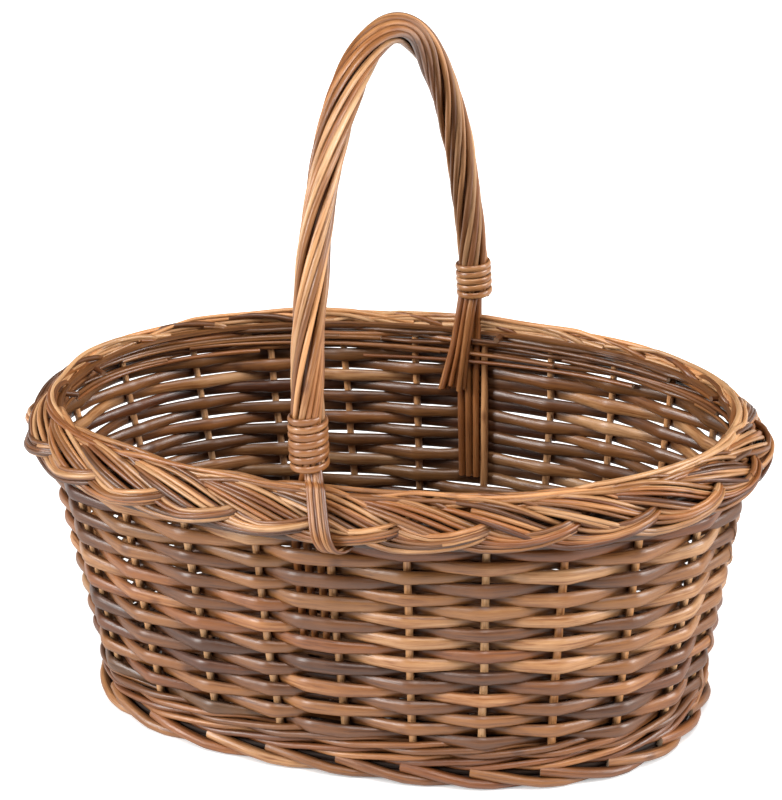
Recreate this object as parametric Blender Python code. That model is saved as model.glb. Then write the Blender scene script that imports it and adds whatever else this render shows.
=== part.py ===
"""Oval willow foraging basket with a plaited rim and a roped bow handle.

The basket is modelled rod by rod. X runs along its length, Y across it, under the handle,
and Z up from the surface that the foot stands on.
"""
import math

import bmesh
import bpy
import numpy as np
from mathutils import Vector

MM = 0.001

# The wall is an oval of upright stakes that leans outward as it rises.
STAKE_COUNT = 24
WALL_FOOT_LENGTH = 339 * MM
WALL_FOOT_WIDTH = 220 * MM
WALL_TOP_LENGTH = 388 * MM
WALL_TOP_WIDTH = 248 * MM
WALL_TOP_HEIGHT = 157 * MM
FOOT_OVAL_EXPONENT = 2.5
RIM_OVAL_EXPONENT = 2.0
OVAL_SAMPLES = 1440
WELD_DISTANCE = 0.01 * MM
SHARP_EDGE = math.radians(50)

# Rods, by their work in the weave
STAKE_DIAMETER = 6.4 * MM
WEAVER_DIAMETER = 5.8 * MM
WALE_DIAMETER = 5.6 * MM
BASE_STICK_DIAMETER = 5.2 * MM
BASE_WEAVER_DIAMETER = 4.8 * MM
CLEARANCE = 0.3 * MM
BUTT_GAP = 0.6 * MM
TIP_SHARE = 0.86
KINK_PASSES = 4

# Siding: single rods, each going once round, outside one stake and inside the next
ROW_COUNT = 19
ROW_PITCH = 6.75 * MM
ROW_START_STEP = 5

# Upsett: three rods worked together, before two stakes and behind one
WALE_STRANDS = 3
WALE_BULGE = 0.5 * MM

# Foot: tapering strokes, one to a stake, each ending in a blunt heel
FOOT_DIAMETER = 12.4 * MM
FOOT_TAIL_DIAMETER = 8.4 * MM
FOOT_OUTSET = 3.4 * MM
FOOT_SIDES = 6
FOOT_HEEL_STEP = 0.8 * MM

# Base: long sticks through short ones, slightly crowned, woven over and under
LONG_STICK_COUNT = 5
SHORT_STICK_COUNT = 7
LONG_SPACING = 6 * MM
SHORT_SPACING = 27 * MM
BASE_HEIGHT = 8.8 * MM
BASE_CROWN = 8 * MM
BASE_ROUNDS = 11
GROUPED_ROUNDS = 4
BASE_STICK_INSET = 4 * MM
BASE_WEAVE_START = 4 * MM
BASE_WEAVE_INSET = 13 * MM
SLATH_MARGIN = 5.4 * MM
SLATH_END_MARGIN = 14 * MM

# Border: a three-strand plait of flat bundles that leans over the top of the wall
PLAIT_STRANDS = 3
PLAIT_OUTSET = 14.4 * MM
PLAIT_HEIGHT = 168.5 * MM
PLAIT_LEAN = math.radians(46.5)
PLAIT_SWAY = 12.1 * MM
PLAIT_LIFT = 6.2 * MM
PLAIT_STEPS_A_WAVE = 6
BUNDLE_WIDTH = 8.8 * MM
BUNDLE_THICKNESS = 5.6 * MM
BUNDLE_SHOULDER_SHARE = 0.56
EYELET_PUSH = 2 * MM

# Handle: a bow over the middle, roped with three bundles and bound at each foot
HANDLE_OFFSET = 6.5 * MM
HANDLE_HALF_SPAN = 127 * MM
HANDLE_HEIGHT = 400 * MM
SHOULDER_RISE = 11.4 * MM
HANDLE_ARCH_EXPONENT = 2.05
HANDLE_STEPS = 22
BOW_DIAMETER = 9.2 * MM
BOW_NECK_DIAMETER = 6.4 * MM
BOW_TIP_HEIGHT = 84 * MM
BOW_NECK_INSET = 16.5 * MM
BOW_NECK_RISE = 3.5 * MM
ROPE_STRANDS = 3
ROPE_TURN_COUNT = 2
ROPE_DIAMETER = 17.6 * MM
ROPE_GROOVE = 0.8 * MM
ROPE_SPREAD = math.radians(50)
ROPE_FACE_SPREAD = math.radians(25)

# Bindings: a split rod wound round each foot of the handle
BINDING_DIAMETER = 2.8 * MM
BINDING_LOOPS = 7
BINDING_PITCH = 4.2 * MM
BINDING_STEPS = 24
BINDING_SEAT = 0.4 * MM
BINDING_LEAST_GAP = 0.4 * MM

# Tails: the ends of the roping, one over the border and one left inside. The route of
# the first is given in shares of its way out from the plait's middle and up from it.
TAIL_WIDTH = 12 * MM
TAIL_THICKNESS = 4.2 * MM
TAIL_DRIFT = 14 * MM
TAIL_ROUTE_SHARES = ((-0.6, 0.95), (-0.25, 1.1), (0.1, 1.0), (0.5, 0.74), (0.82, 0.5),
                     (0.99, 0.05), (0.94, -0.6))
INNER_TAIL_DRIFT = -10 * MM
INNER_TAIL_DROP = 50 * MM
INNER_TAIL_INSET = 9 * MM
INNER_TAIL_STEPS = 2

HALF_PAIR = (STAKE_DIAMETER + BOW_NECK_DIAMETER) / 2 + CLEARANCE
FOOT_HEIGHT = FOOT_DIAMETER * math.cos(math.pi / FOOT_SIDES)
WALE_LEVEL = (WALE_DIAMETER + CLEARANCE) / 2
WALE_HALF_HEIGHT = WALE_LEVEL + WALE_BULGE + WALE_DIAMETER / 2
WALE_HEIGHT = FOOT_HEIGHT + CLEARANCE + WALE_HALF_HEIGHT
ROW_START = WALE_HEIGHT + WALE_HALF_HEIGHT + CLEARANCE + WEAVER_DIAMETER / 2
WALL_SLOPE = math.atan2((WALL_TOP_LENGTH - WALL_FOOT_LENGTH) / 2, WALL_TOP_HEIGHT - FOOT_HEIGHT)
STAKE_FOOT = FOOT_HEIGHT + STAKE_DIAMETER / 2 * math.sin(WALL_SLOPE) + CLEARANCE
CROSSING_DROP = PLAIT_LIFT * math.sin(2 * math.pi / PLAIT_STRANDS) + BUNDLE_THICKNESS / 2
BORDER_TOP = PLAIT_HEIGHT + (PLAIT_SWAY + BUNDLE_WIDTH / 2) * math.sin(PLAIT_LEAN)
HANDLE_SHOULDER = BORDER_TOP + SHOULDER_RISE
STAKE_SIDE = (WALL_TOP_HEIGHT - PLAIT_HEIGHT) * math.tan(WALL_SLOPE) + PLAIT_OUTSET - (
    STAKE_DIAMETER / 2 / math.cos(WALL_SLOPE))
STAKE_TOP = PLAIT_HEIGHT + (STAKE_SIDE * math.sin(PLAIT_LEAN) - CROSSING_DROP - CLEARANCE) / (
    math.cos(PLAIT_LEAN) + math.tan(WALL_SLOPE) * math.sin(PLAIT_LEAN))
UP = Vector((0, 0, 1))

BASKET = "foraging_basket"
WILLOW = {
    "stake": (0.42, 0.26, 0.15),
    "weaver": (0.36, 0.20, 0.11),
    "pale_weaver": (0.46, 0.28, 0.17),
    "wale": (0.33, 0.18, 0.09),
    "foot": (0.40, 0.23, 0.12),
    "base": (0.27, 0.16, 0.09),
    "border": (0.40, 0.23, 0.12),
    "handle": (0.34, 0.18, 0.09),
    "binding": (0.52, 0.33, 0.20),
}
WILLOW_ROUGHNESS = 0.62


def clear_scene():
    """Empty the scene and give it a collection for the basket's pieces."""
    for thing in list(bpy.data.objects):
        bpy.data.objects.remove(thing)
    collection = bpy.data.collections.get(BASKET) or bpy.data.collections.new(BASKET)
    if BASKET not in bpy.context.scene.collection.children:
        bpy.context.scene.collection.children.link(collection)
    return collection


def willow_material(kind):
    """Peeled and steamed willow in the colour of one kind of rod."""
    material = bpy.data.materials.get(kind) or bpy.data.materials.new(kind)
    material.use_nodes = True
    shader = material.node_tree.nodes["Principled BSDF"]
    shader.inputs["Base Color"].default_value = (*WILLOW[kind], 1)
    shader.inputs["Roughness"].default_value = WILLOW_ROUGHNESS
    shader.inputs["Metallic"].default_value = 0
    return material


def link_piece(name, data, kind):
    """Place one piece of the basket in its collection."""
    piece = bpy.data.objects.new(name, data)
    data.materials.append(willow_material(kind))
    bpy.data.collections[BASKET].objects.link(piece)
    return piece


def add_rod(name, points, diameter, kind, tip_share=1.0, resolution=1, shares=None):
    """A rod along a line of points, thinning evenly to tip_share of its diameter."""
    curve = bpy.data.curves.new(name, "CURVE")
    curve.dimensions = "3D"
    curve.bevel_depth = diameter / 2
    curve.bevel_resolution = resolution
    curve.use_fill_caps = True
    line = curve.splines.new("POLY")
    line.points.add(len(points) - 1)
    if shares is None:
        shares = np.linspace(1, tip_share, len(points))
    for knot, place, share in zip(line.points, points, shares):
        knot.co = (*place, 1)
        knot.radius = share
    return link_piece(name, curve, kind)


def add_loft(name, sections, kind, closed=False):
    """A solid skinned over like sections, joined into a ring or capped at both ends."""
    mesh = bpy.data.meshes.new(name)
    skin = bmesh.new()
    rows = [[skin.verts.new(corner) for corner in section] for section in sections]
    following_rows = rows[1:] + rows[:1] if closed else rows[1:]
    for here, there in zip(rows, following_rows):
        for corner in range(len(here)):
            after = (corner + 1) % len(here)
            skin.faces.new((here[corner], here[after], there[after], there[corner]))
    if not closed:
        skin.faces.new(rows[0][::-1])
        skin.faces.new(rows[-1])
    bmesh.ops.recalc_face_normals(skin, faces=skin.faces)
    skin.to_mesh(mesh)
    skin.free()
    mesh.shade_smooth()
    mesh.set_sharp_from_angle(angle=SHARP_EDGE)
    return link_piece(name, mesh, kind)


def oval_points(half_length, half_width, squareness, shares):
    """Plan points at shares of the way round an oval, counted from its +X end."""
    angles = np.linspace(0, 2 * math.pi, OVAL_SAMPLES + 1)
    across, up = np.cos(angles), np.sin(angles)
    xs = half_length * np.sign(across) * np.abs(across) ** (2 / squareness)
    ys = half_width * np.sign(up) * np.abs(up) ** (2 / squareness)
    steps = np.hypot(np.diff(xs), np.diff(ys))
    along = np.concatenate([[0], np.cumsum(steps)]) / steps.sum()
    turns = np.mod(shares, 1)
    return np.column_stack([np.interp(turns, along, xs), np.interp(turns, along, ys)])


def wall_plan(height, shares, outset=0.0):
    """Plan points of the wall's middle line at a height, moved outward by outset."""
    rise = (height - STAKE_FOOT) / (WALL_TOP_HEIGHT - STAKE_FOOT)
    low = oval_points(WALL_FOOT_LENGTH / 2 + outset, WALL_FOOT_WIDTH / 2 + outset,
                      FOOT_OVAL_EXPONENT, shares)
    high = oval_points(WALL_TOP_LENGTH / 2 + outset, WALL_TOP_WIDTH / 2 + outset,
                       RIM_OVAL_EXPONENT, shares)
    return low * (1 - rise) + high * rise


def wall_girth():
    """The wall's length round its top."""
    rim = wall_plan(WALL_TOP_HEIGHT, np.linspace(0, 1, OVAL_SAMPLES + 1))
    return float(np.linalg.norm(np.diff(rim, axis=0), axis=1).sum())


def shares_round(count, offset):
    """Even shares round the oval, eased so that the middle ones lie at X = offset."""
    even = np.arange(count) / count
    return even - offset / wall_girth() * np.sin(2 * math.pi * even)


def stake_shares():
    """Where the stakes stand: the middle ones make room beside them for the bow."""
    return shares_round(STAKE_COUNT, HANDLE_OFFSET + HALF_PAIR)


def bow_shares():
    """Where the two ends of the bow go down into the wall: at the back and the front."""
    shift = HANDLE_OFFSET / wall_girth()
    return 0.25 - shift, 0.75 + shift


def outward_directions(plan):
    """Unit directions pointing out of a closed ring of plan points."""
    along = np.roll(plan, -1, axis=0) - np.roll(plan, 1, axis=0)
    out = np.column_stack([along[:, 1], -along[:, 0]])
    return out / np.linalg.norm(out, axis=1, keepdims=True)


def stand_off(posts, sides, reach):
    """Points of a rod that passes each post on its side, reach away from it.

    Where the rod bends back round a post, its corner stands off further, so that the
    straight runs on both sides of the corner keep their distance too.
    """
    offsets = np.full(len(posts), reach)
    for _ in range(KINK_PASSES):
        rod = posts + sides * offsets[:, None]
        lean = np.zeros(len(posts))
        for step in (1, -1):
            run = np.roll(rod, -step, axis=0) - rod
            run /= np.linalg.norm(run, axis=1, keepdims=True)
            lean = np.maximum(lean, -(run * sides).sum(axis=1))
        offsets = reach / np.sqrt(1 - lean ** 2)
    return posts + sides * offsets[:, None]


def weave_round(posts, sides, reach):
    """Plan points of a rod that goes once round, outside (1) or inside (-1) each post."""
    out = outward_directions(posts) * np.asarray(sides, dtype=float)[:, None]
    return stand_off(posts, out, reach)


def open_ring(ring, start):
    """Turn a closed ring into a rod whose two ends butt, with a gap, at one post."""
    rod = np.roll(ring, -start, axis=0)
    rod = np.vstack([rod, rod[:1]])
    for end, neighbour in ((0, 1), (-1, -2)):
        run = rod[neighbour] - rod[end]
        rod[end] = rod[end] + run / np.linalg.norm(run) * BUTT_GAP / 2
    return rod


def add_stakes():
    """Upright stakes, from the foot to the underside of the border."""
    low = wall_plan(STAKE_FOOT, stake_shares())
    high = wall_plan(STAKE_TOP, stake_shares())
    for number, (foot, top) in enumerate(zip(low, high), start=1):
        ends = [(*foot, STAKE_FOOT), (*top, STAKE_TOP)]
        add_rod(f"stake_{number:02d}", ends, STAKE_DIAMETER, "stake")


def siding_posts():
    """Shares and stake numbers of all that the siding weaves round, in order."""
    posts = [(share, number) for number, share in enumerate(stake_shares())]
    middle_stakes = (STAKE_COUNT // 4, 3 * STAKE_COUNT // 4)
    posts += list(zip(bow_shares(), middle_stakes))
    return sorted(posts)


def add_siding():
    """Rows of single rods that change sides at every stake and from row to row."""
    posts = siding_posts()
    shares = np.array([share for share, _ in posts])
    numbers = [number for _, number in posts]
    reach = ((STAKE_DIAMETER + WEAVER_DIAMETER) / 2 + CLEARANCE) / math.cos(WALL_SLOPE)
    for row in range(ROW_COUNT):
        height = ROW_START + row * ROW_PITCH
        sides = [1 if (number + row) % 2 == 0 else -1 for number in numbers]
        ring = weave_round(wall_plan(height, shares), sides, reach)
        ring = np.column_stack([ring, np.full(len(ring), height)])
        first_stake = (2 * ROW_START_STEP * row + row + 1) % STAKE_COUNT
        kind = "weaver" if row % 2 == 0 else "pale_weaver"
        add_rod(f"weaver_{row + 1:02d}", open_ring(ring, numbers.index(first_stake)),
                WEAVER_DIAMETER, kind, TIP_SHARE)


def add_wale():
    """Three rods laid over one another, each before two stakes and behind the third.

    Before its first stake a rod runs low, before its second high. Between stakes it dips
    or climbs past the rod that it crosses.
    """
    posts = wall_plan(WALE_HEIGHT, stake_shares())
    reach = ((STAKE_DIAMETER + WALE_DIAMETER) / 2 + CLEARANCE) / math.cos(WALL_SLOPE)
    at_stake = {0: 0.0, 1: -WALE_LEVEL, 2: WALE_LEVEL}
    crossing = WALE_LEVEL + WALE_BULGE
    between = {0: -crossing, 1: 0.0, 2: crossing}
    for strand in range(WALE_STRANDS):
        phases = [(number - strand) % WALE_STRANDS for number in range(STAKE_COUNT)]
        sides = [-1 if phase == 0 else 1 for phase in phases]
        ring = weave_round(posts, sides, reach)
        middles = (ring + np.roll(ring, -1, axis=0)) / 2
        line = []
        for phase, corner, middle in zip(phases, ring, middles):
            line.append((*corner, WALE_HEIGHT + at_stake[phase]))
            line.append((*middle, WALE_HEIGHT + between[phase]))
        add_rod(f"wale_{strand + 1}", open_ring(np.array(line), 2 * strand), WALE_DIAMETER, "wale",
                TIP_SHARE)


def add_foot():
    """The foot border: a ring of strokes that taper from one heel to the next."""
    shares = stake_shares()
    tails = np.roll(shares, -1) - FOOT_HEEL_STEP / wall_girth()
    tails[-1] += 1
    stations = np.column_stack([shares, tails]).ravel()
    middle = wall_plan(STAKE_FOOT, stations, FOOT_OUTSET)
    out = outward_directions(wall_plan(STAKE_FOOT, np.repeat(shares, 2), FOOT_OUTSET)[::2])
    out = np.column_stack([out, np.roll(out, -1, axis=0)]).reshape(-1, 2)
    radii = np.tile([FOOT_DIAMETER / 2, FOOT_TAIL_DIAMETER / 2], STAKE_COUNT)
    sections = []
    for place, direction, radius in zip(middle, out, radii):
        lift = radius * math.cos(math.pi / FOOT_SIDES)
        inset = FOOT_DIAMETER / 2 - radius
        section = []
        for corner in range(FOOT_SIDES):
            turn = 2 * math.pi * corner / FOOT_SIDES
            reach = radius * math.cos(turn) - inset
            section.append((*(place + direction * reach), lift + radius * math.sin(turn)))
        sections.append(section)
    add_loft("foot_border", sections, "foot", closed=True)


def base_spokes():
    """Where each base stick leaves the slath and where it ends, in order round the base.

    The short sticks' ends lie along both sides and the long sticks' ends fan out between
    them, at even steps round the rest of the oval.
    """
    rim = wall_plan(STAKE_FOOT, np.linspace(0, 1, OVAL_SAMPLES, endpoint=False),
                    -BASE_STICK_INSET)
    half_slath = (SHORT_STICK_COUNT - 1) / 2 * SHORT_SPACING
    back = rim[:OVAL_SAMPLES // 2]
    corner = int(np.argmin(np.abs(back[:, 0] - half_slath)))
    fan_step = 2 * corner / (LONG_STICK_COUNT + 1)
    inner, ends = [], []
    for number in range(LONG_STICK_COUNT):
        place = number - (LONG_STICK_COUNT - 1) / 2
        inner.append((half_slath + SLATH_END_MARGIN, place * LONG_SPACING))
        ends.append(rim[int(round(place * fan_step)) % OVAL_SAMPLES])
    for number in range(SHORT_STICK_COUNT):
        across = half_slath - number * SHORT_SPACING
        inner.append((across, (LONG_STICK_COUNT - 1) / 2 * LONG_SPACING + SLATH_MARGIN))
        ends.append(back[int(np.argmin(np.abs(back[:, 0] - across)))])
    inner, ends = np.array(inner), np.array(ends)
    return np.vstack([inner, -inner]), np.vstack([ends, -ends])


def raised(place, height):
    """A plan point at a height."""
    return np.array([*place, height])


def base_sides():
    """The base's inner and outer ring of points, the inner one raised by the crown."""
    inner, ends = base_spokes()
    high = np.array([raised(place, BASE_HEIGHT + BASE_CROWN) for place in inner])
    low = np.array([raised(place, BASE_HEIGHT) for place in ends])
    return high, low


def add_base_sticks():
    """Long sticks run through the short ones and fan out at both ends."""
    inner, ends = base_sides()
    spokes = len(inner)
    half = spokes // 2
    sticks = []
    for number in range(half):
        if number < LONG_STICK_COUNT:
            other = half + LONG_STICK_COUNT - 1 - number
        else:
            other = spokes - 1 - (number - LONG_STICK_COUNT)
        line = [ends[number], inner[number], inner[other], ends[other]]
        sticks.append(add_rod(f"stick_{number}", line, BASE_STICK_DIAMETER, "base", resolution=0))
    join_solids("base_sticks", sticks)


def join_solids(name, rods):
    """Join crossing rods into one solid."""
    solids = [meshed(rod) for rod in rods]
    whole = solids[0]
    whole.name = name
    for other in solids[1:]:
        union = whole.modifiers.new("union", "BOOLEAN")
        union.operation = "UNION"
        union.object = other
        graph = bpy.context.evaluated_depsgraph_get()
        joined = bpy.data.meshes.new_from_object(whole.evaluated_get(graph))
        whole.modifiers.remove(union)
        whole.data = joined
        bpy.data.objects.remove(other)


def meshed(rod):
    """Swap a rod's curve for its mesh, with its end caps welded on."""
    graph = bpy.context.evaluated_depsgraph_get()
    mesh = bpy.data.meshes.new_from_object(rod.evaluated_get(graph))
    welded = bmesh.new()
    welded.from_mesh(mesh)
    bmesh.ops.remove_doubles(welded, verts=welded.verts, dist=WELD_DISTANCE)
    welded.to_mesh(mesh)
    welded.free()
    solid = bpy.data.objects.new(rod.name, mesh)
    solid.matrix_world = rod.matrix_world
    bpy.data.collections[BASKET].objects.link(solid)
    bpy.data.objects.remove(rod)
    return solid


def add_base_weave():
    """One rod spirals out from the slath, over one stick and under the next.

    Its first rounds take the long sticks of each end together, as one.
    """
    inner, ends = base_sides()
    spans = np.linalg.norm(ends - inner, axis=1, keepdims=True)
    first = inner + (ends - inner) * BASE_WEAVE_START / spans
    last = ends + (inner - ends) * BASE_WEAVE_INSET / spans
    reach = (BASE_STICK_DIAMETER + BASE_WEAVER_DIAMETER) / 2 + CLEARANCE
    spokes = len(inner)
    half = spokes // 2
    posts, sides = [], []
    for crossing in range(BASE_ROUNDS * spokes):
        lap, spoke = divmod(crossing, spokes)
        share = crossing / (BASE_ROUNDS * spokes - 1)
        posts.append(first[spoke] * (1 - share) + last[spoke] * share)
        group = spoke
        if lap < GROUPED_ROUNDS and spoke % half < LONG_STICK_COUNT:
            group = spoke - spoke % half + LONG_STICK_COUNT - 1
        sides.append(1 if (group + lap) % 2 == 0 else -1)
    turns = np.column_stack([np.zeros((len(sides), 2)), sides])
    line = stand_off(np.array(posts), turns, reach)
    add_rod("base_weaver", line, BASE_WEAVER_DIAMETER, "base", resolution=0)


def flat_section(middle, wide, deep, width, thickness):
    """A six-cornered section of a flat bundle of rods."""
    shoulder = width / 2 * BUNDLE_SHOULDER_SHARE
    corners = ((width / 2, 0), (shoulder, thickness / 2), (-shoulder, thickness / 2),
               (-width / 2, 0), (-shoulder, -thickness / 2), (shoulder, -thickness / 2))
    return [middle + wide * across + deep * up for across, up in corners]


def border_frames(shares):
    """Middle points of the border and its wide and deep directions."""
    plan = wall_plan(WALL_TOP_HEIGHT, shares, PLAIT_OUTSET)
    frames = []
    for place, out in zip(plan, outward_directions(plan)):
        outward = Vector((*out, 0))
        wide = outward * math.cos(PLAIT_LEAN) - UP * math.sin(PLAIT_LEAN)
        deep = outward * math.sin(PLAIT_LEAN) + UP * math.cos(PLAIT_LEAN)
        frames.append((Vector((*place, PLAIT_HEIGHT)), wide, deep))
    return frames


def add_border():
    """Three bundles plaited round the rim, parting at the handle to let the bow through."""
    waves = STAKE_COUNT // PLAIT_STRANDS
    steps = waves * PLAIT_STEPS_A_WAVE
    frames = border_frames(shares_round(steps, HANDLE_OFFSET))
    bow_steps = (steps // 4, 3 * steps // 4)
    for strand in range(PLAIT_STRANDS):
        sections = []
        for step, (middle, wide, deep) in enumerate(frames):
            turn = 2 * math.pi * (waves * step / steps + strand / PLAIT_STRANDS) + math.pi / 2
            sway = PLAIT_SWAY * math.sin(turn)
            if step in bow_steps and sway < 0:
                sway += EYELET_PUSH
            lift = -PLAIT_LIFT * math.sin(2 * turn)
            sections.append(flat_section(middle + wide * sway + deep * lift, wide, deep,
                                         BUNDLE_WIDTH, BUNDLE_THICKNESS))
        add_loft(f"border_strand_{strand + 1}", sections, "border", closed=True)


def handle_line():
    """Middle line of the handle from one shoulder over the top to the other."""
    line = []
    top = HANDLE_HEIGHT - ROPE_DIAMETER / 2
    for step in range(HANDLE_STEPS + 1):
        turn = math.pi * step / HANDLE_STEPS
        across = -math.copysign(abs(math.cos(turn)) ** (2 / HANDLE_ARCH_EXPONENT), math.cos(turn))
        rise = abs(math.sin(turn)) ** (2 / HANDLE_ARCH_EXPONENT)
        line.append(Vector((HANDLE_OFFSET, HANDLE_HALF_SPAN * across,
                            HANDLE_SHOULDER + (top - HANDLE_SHOULDER) * rise)))
    return line


def bow_foot(share):
    """The bow's way down from the shoulder, past the border and into the wall."""
    tip = wall_plan(BOW_TIP_HEIGHT, np.array([share]))[0]
    entry_height = WALL_TOP_HEIGHT
    entry = wall_plan(entry_height, np.array([share]))[0]
    facing = math.copysign(1, entry[1])
    neck_height = PLAIT_HEIGHT + BOW_NECK_RISE
    neck = abs(wall_plan(WALL_TOP_HEIGHT, np.array([share]), PLAIT_OUTSET)[0][1]) - BOW_NECK_INSET
    return [Vector((*tip, BOW_TIP_HEIGHT)), Vector((*entry, entry_height)),
            Vector((HANDLE_OFFSET, facing * neck, neck_height))]


def add_bow():
    """The bow: a stout rod, thinned where it goes down beside the middle stakes."""
    back, front = bow_shares()
    arch = handle_line()
    line = bow_foot(front) + arch + bow_foot(back)[::-1]
    neck_share = BOW_NECK_DIAMETER / BOW_DIAMETER
    necks = [neck_share] * 3
    shares = necks + [1] * len(arch) + necks
    add_rod("handle_bow", line, BOW_DIAMETER, "handle", shares=shares)


def line_directions(line):
    """Unit directions along a line of points."""
    ahead = line[1:] + line[-1:]
    behind = line[:1] + line[:-1]
    return [(after - before).normalized() for after, before in zip(ahead, behind)]


def rope_corners():
    """Corners of one rope bundle, as distances and angles round the bow."""
    inner = (BOW_DIAMETER / 2 + CLEARANCE) / math.cos(ROPE_FACE_SPREAD)
    outer = ROPE_DIAMETER / 2
    middle = (inner + outer) / 2
    return ((inner, -ROPE_FACE_SPREAD), (middle, -ROPE_SPREAD), (outer, -ROPE_FACE_SPREAD),
            (outer - ROPE_GROOVE, 0), (outer, ROPE_FACE_SPREAD), (middle, ROPE_SPREAD),
            (inner, ROPE_FACE_SPREAD))


def add_roping():
    """Three flat bundles laid side by side and twisted along the bow."""
    arch = handle_line()
    directions = line_directions(arch)
    sideways = Vector((1, 0, 0))
    for strand in range(ROPE_STRANDS):
        sections = []
        for step, (place, along) in enumerate(zip(arch, directions)):
            twist = 2 * math.pi * (ROPE_TURN_COUNT * step / HANDLE_STEPS + strand / ROPE_STRANDS)
            inward = along.cross(sideways)
            section = []
            for away, spread in rope_corners():
                turn = twist + spread
                direction = sideways * math.cos(turn) + inward * math.sin(turn)
                section.append(place + direction * away)
            sections.append(section)
        add_loft(f"handle_rope_{strand + 1}", sections, "handle")


def add_bindings():
    """A split rod wound round the roping above each foot of the bow."""
    wind_radius = (ROPE_DIAMETER + BINDING_DIAMETER) / 2 + CLEARANCE
    heights = [place.z for place in handle_line()[:HANDLE_STEPS // 2]]
    spans = [abs(place.y) for place in handle_line()[:HANDLE_STEPS // 2]]
    lowest = HANDLE_SHOULDER + BINDING_SEAT + BINDING_DIAMETER / 2
    for name, facing in (("binding_front", -1), ("binding_back", 1)):
        line = []
        for step in range(BINDING_LOOPS * BINDING_STEPS + 1):
            turns = step / BINDING_STEPS
            height = lowest + turns * BINDING_PITCH
            turn = 2 * math.pi * turns
            across = facing * float(np.interp(height, heights, spans))
            line.append(Vector((HANDLE_OFFSET + wind_radius * math.cos(turn),
                                across + wind_radius * math.sin(turn), height)))
        start = line[0] - (line[1] - line[0]).normalized() * BINDING_DIAMETER
        end = line[-1] + (line[-1] - line[-2]).normalized() * BINDING_DIAMETER
        line = [start, *line, end]
        add_rod(name, line, BINDING_DIAMETER, "binding")
        print(f"{name}: least gap to itself {least_gap(line) / MM:.2f} mm, "
              f"over {BINDING_LEAST_GAP / MM:.1f} mm wanted")


def least_gap(line):
    """Least gap between turns of a wound rod, measured on its points."""
    places = np.array([tuple(place) for place in line])
    least = math.inf
    apart = BINDING_STEPS // 2
    for index in range(len(places) - apart):
        away = np.linalg.norm(places[index + apart:] - places[index], axis=1)
        least = min(least, float(away.min()))
    return least - BINDING_DIAMETER


def add_tail(name, line, wide_directions):
    """The flat end of a rope bundle, laid along a line of points."""
    directions = line_directions(line)
    sections = []
    for place, along, wide in zip(line, directions, wide_directions):
        deep = along.cross(wide).normalized()
        sections.append(flat_section(place, wide, deep, TAIL_WIDTH, TAIL_THICKNESS))
    add_loft(name, sections, "handle")


def add_front_tail():
    """The front tail goes over the border and is tucked in under its outer edge."""
    share = np.array([bow_shares()[1]])
    plan = wall_plan(WALL_TOP_HEIGHT, share, PLAIT_OUTSET)[0]
    middle = Vector((*plan, PLAIT_HEIGHT))
    outward = Vector((0, -1, 0))
    wide = outward * math.cos(PLAIT_LEAN) - UP * math.sin(PLAIT_LEAN)
    deep = outward * math.sin(PLAIT_LEAN) + UP * math.cos(PLAIT_LEAN)
    above = PLAIT_LIFT + (BUNDLE_THICKNESS + TAIL_THICKNESS) / 2 + CLEARANCE
    half = PLAIT_SWAY + (BUNDLE_WIDTH + TAIL_THICKNESS) / 2 + CLEARANCE
    line = []
    for step, (across, up) in enumerate(TAIL_ROUTE_SHARES):
        drift = TAIL_DRIFT * step / (len(TAIL_ROUTE_SHARES) - 1)
        line.append(middle + wide * (half * across) + deep * (above * up) + Vector((drift, 0, 0)))
    add_tail("handle_tail_front", line, [Vector((1, 0, 0))] * len(line))


def add_back_tail():
    """The back tail hangs inside the wall, cut off below the border."""
    shoulder = handle_line()[-1]
    inward = ROPE_DIAMETER / 2
    corner_rise = TAIL_WIDTH / 2 * BUNDLE_SHOULDER_SHARE * abs(INNER_TAIL_DRIFT) / INNER_TAIL_DROP
    start = Vector((shoulder.x, shoulder.y - inward, HANDLE_SHOULDER - CLEARANCE - corner_rise))
    line = []
    for step in range(INNER_TAIL_STEPS + 1):
        share = step / INNER_TAIL_STEPS
        drop = UP * (-INNER_TAIL_DROP * share)
        drift = Vector((INNER_TAIL_DRIFT * share, -INNER_TAIL_INSET * share, 0))
        line.append(start + drop + drift)
    add_tail("handle_tail_back", line, [Vector((1, 0, 0))] * len(line))


def build_basket():
    """Make every piece of the basket, from the base up."""
    clear_scene()
    add_base_sticks()
    add_base_weave()
    add_foot()
    add_stakes()
    add_wale()
    add_siding()
    add_border()
    add_bow()
    add_roping()
    add_bindings()
    add_front_tail()
    add_back_tail()


build_basket()
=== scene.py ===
"""Looks of the oval willow foraging basket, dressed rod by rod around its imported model.

Every rod of the weave is a mesh of its own shape: it thins towards its tip, kinks where it
passes a stake and ends in a cut face. X runs along the basket, Y across it, Z up.
"""
import math

import bpy
import numpy as np
from bpy.props import FloatProperty, FloatVectorProperty, IntProperty, PointerProperty
from mathutils import Matrix, Vector


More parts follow.
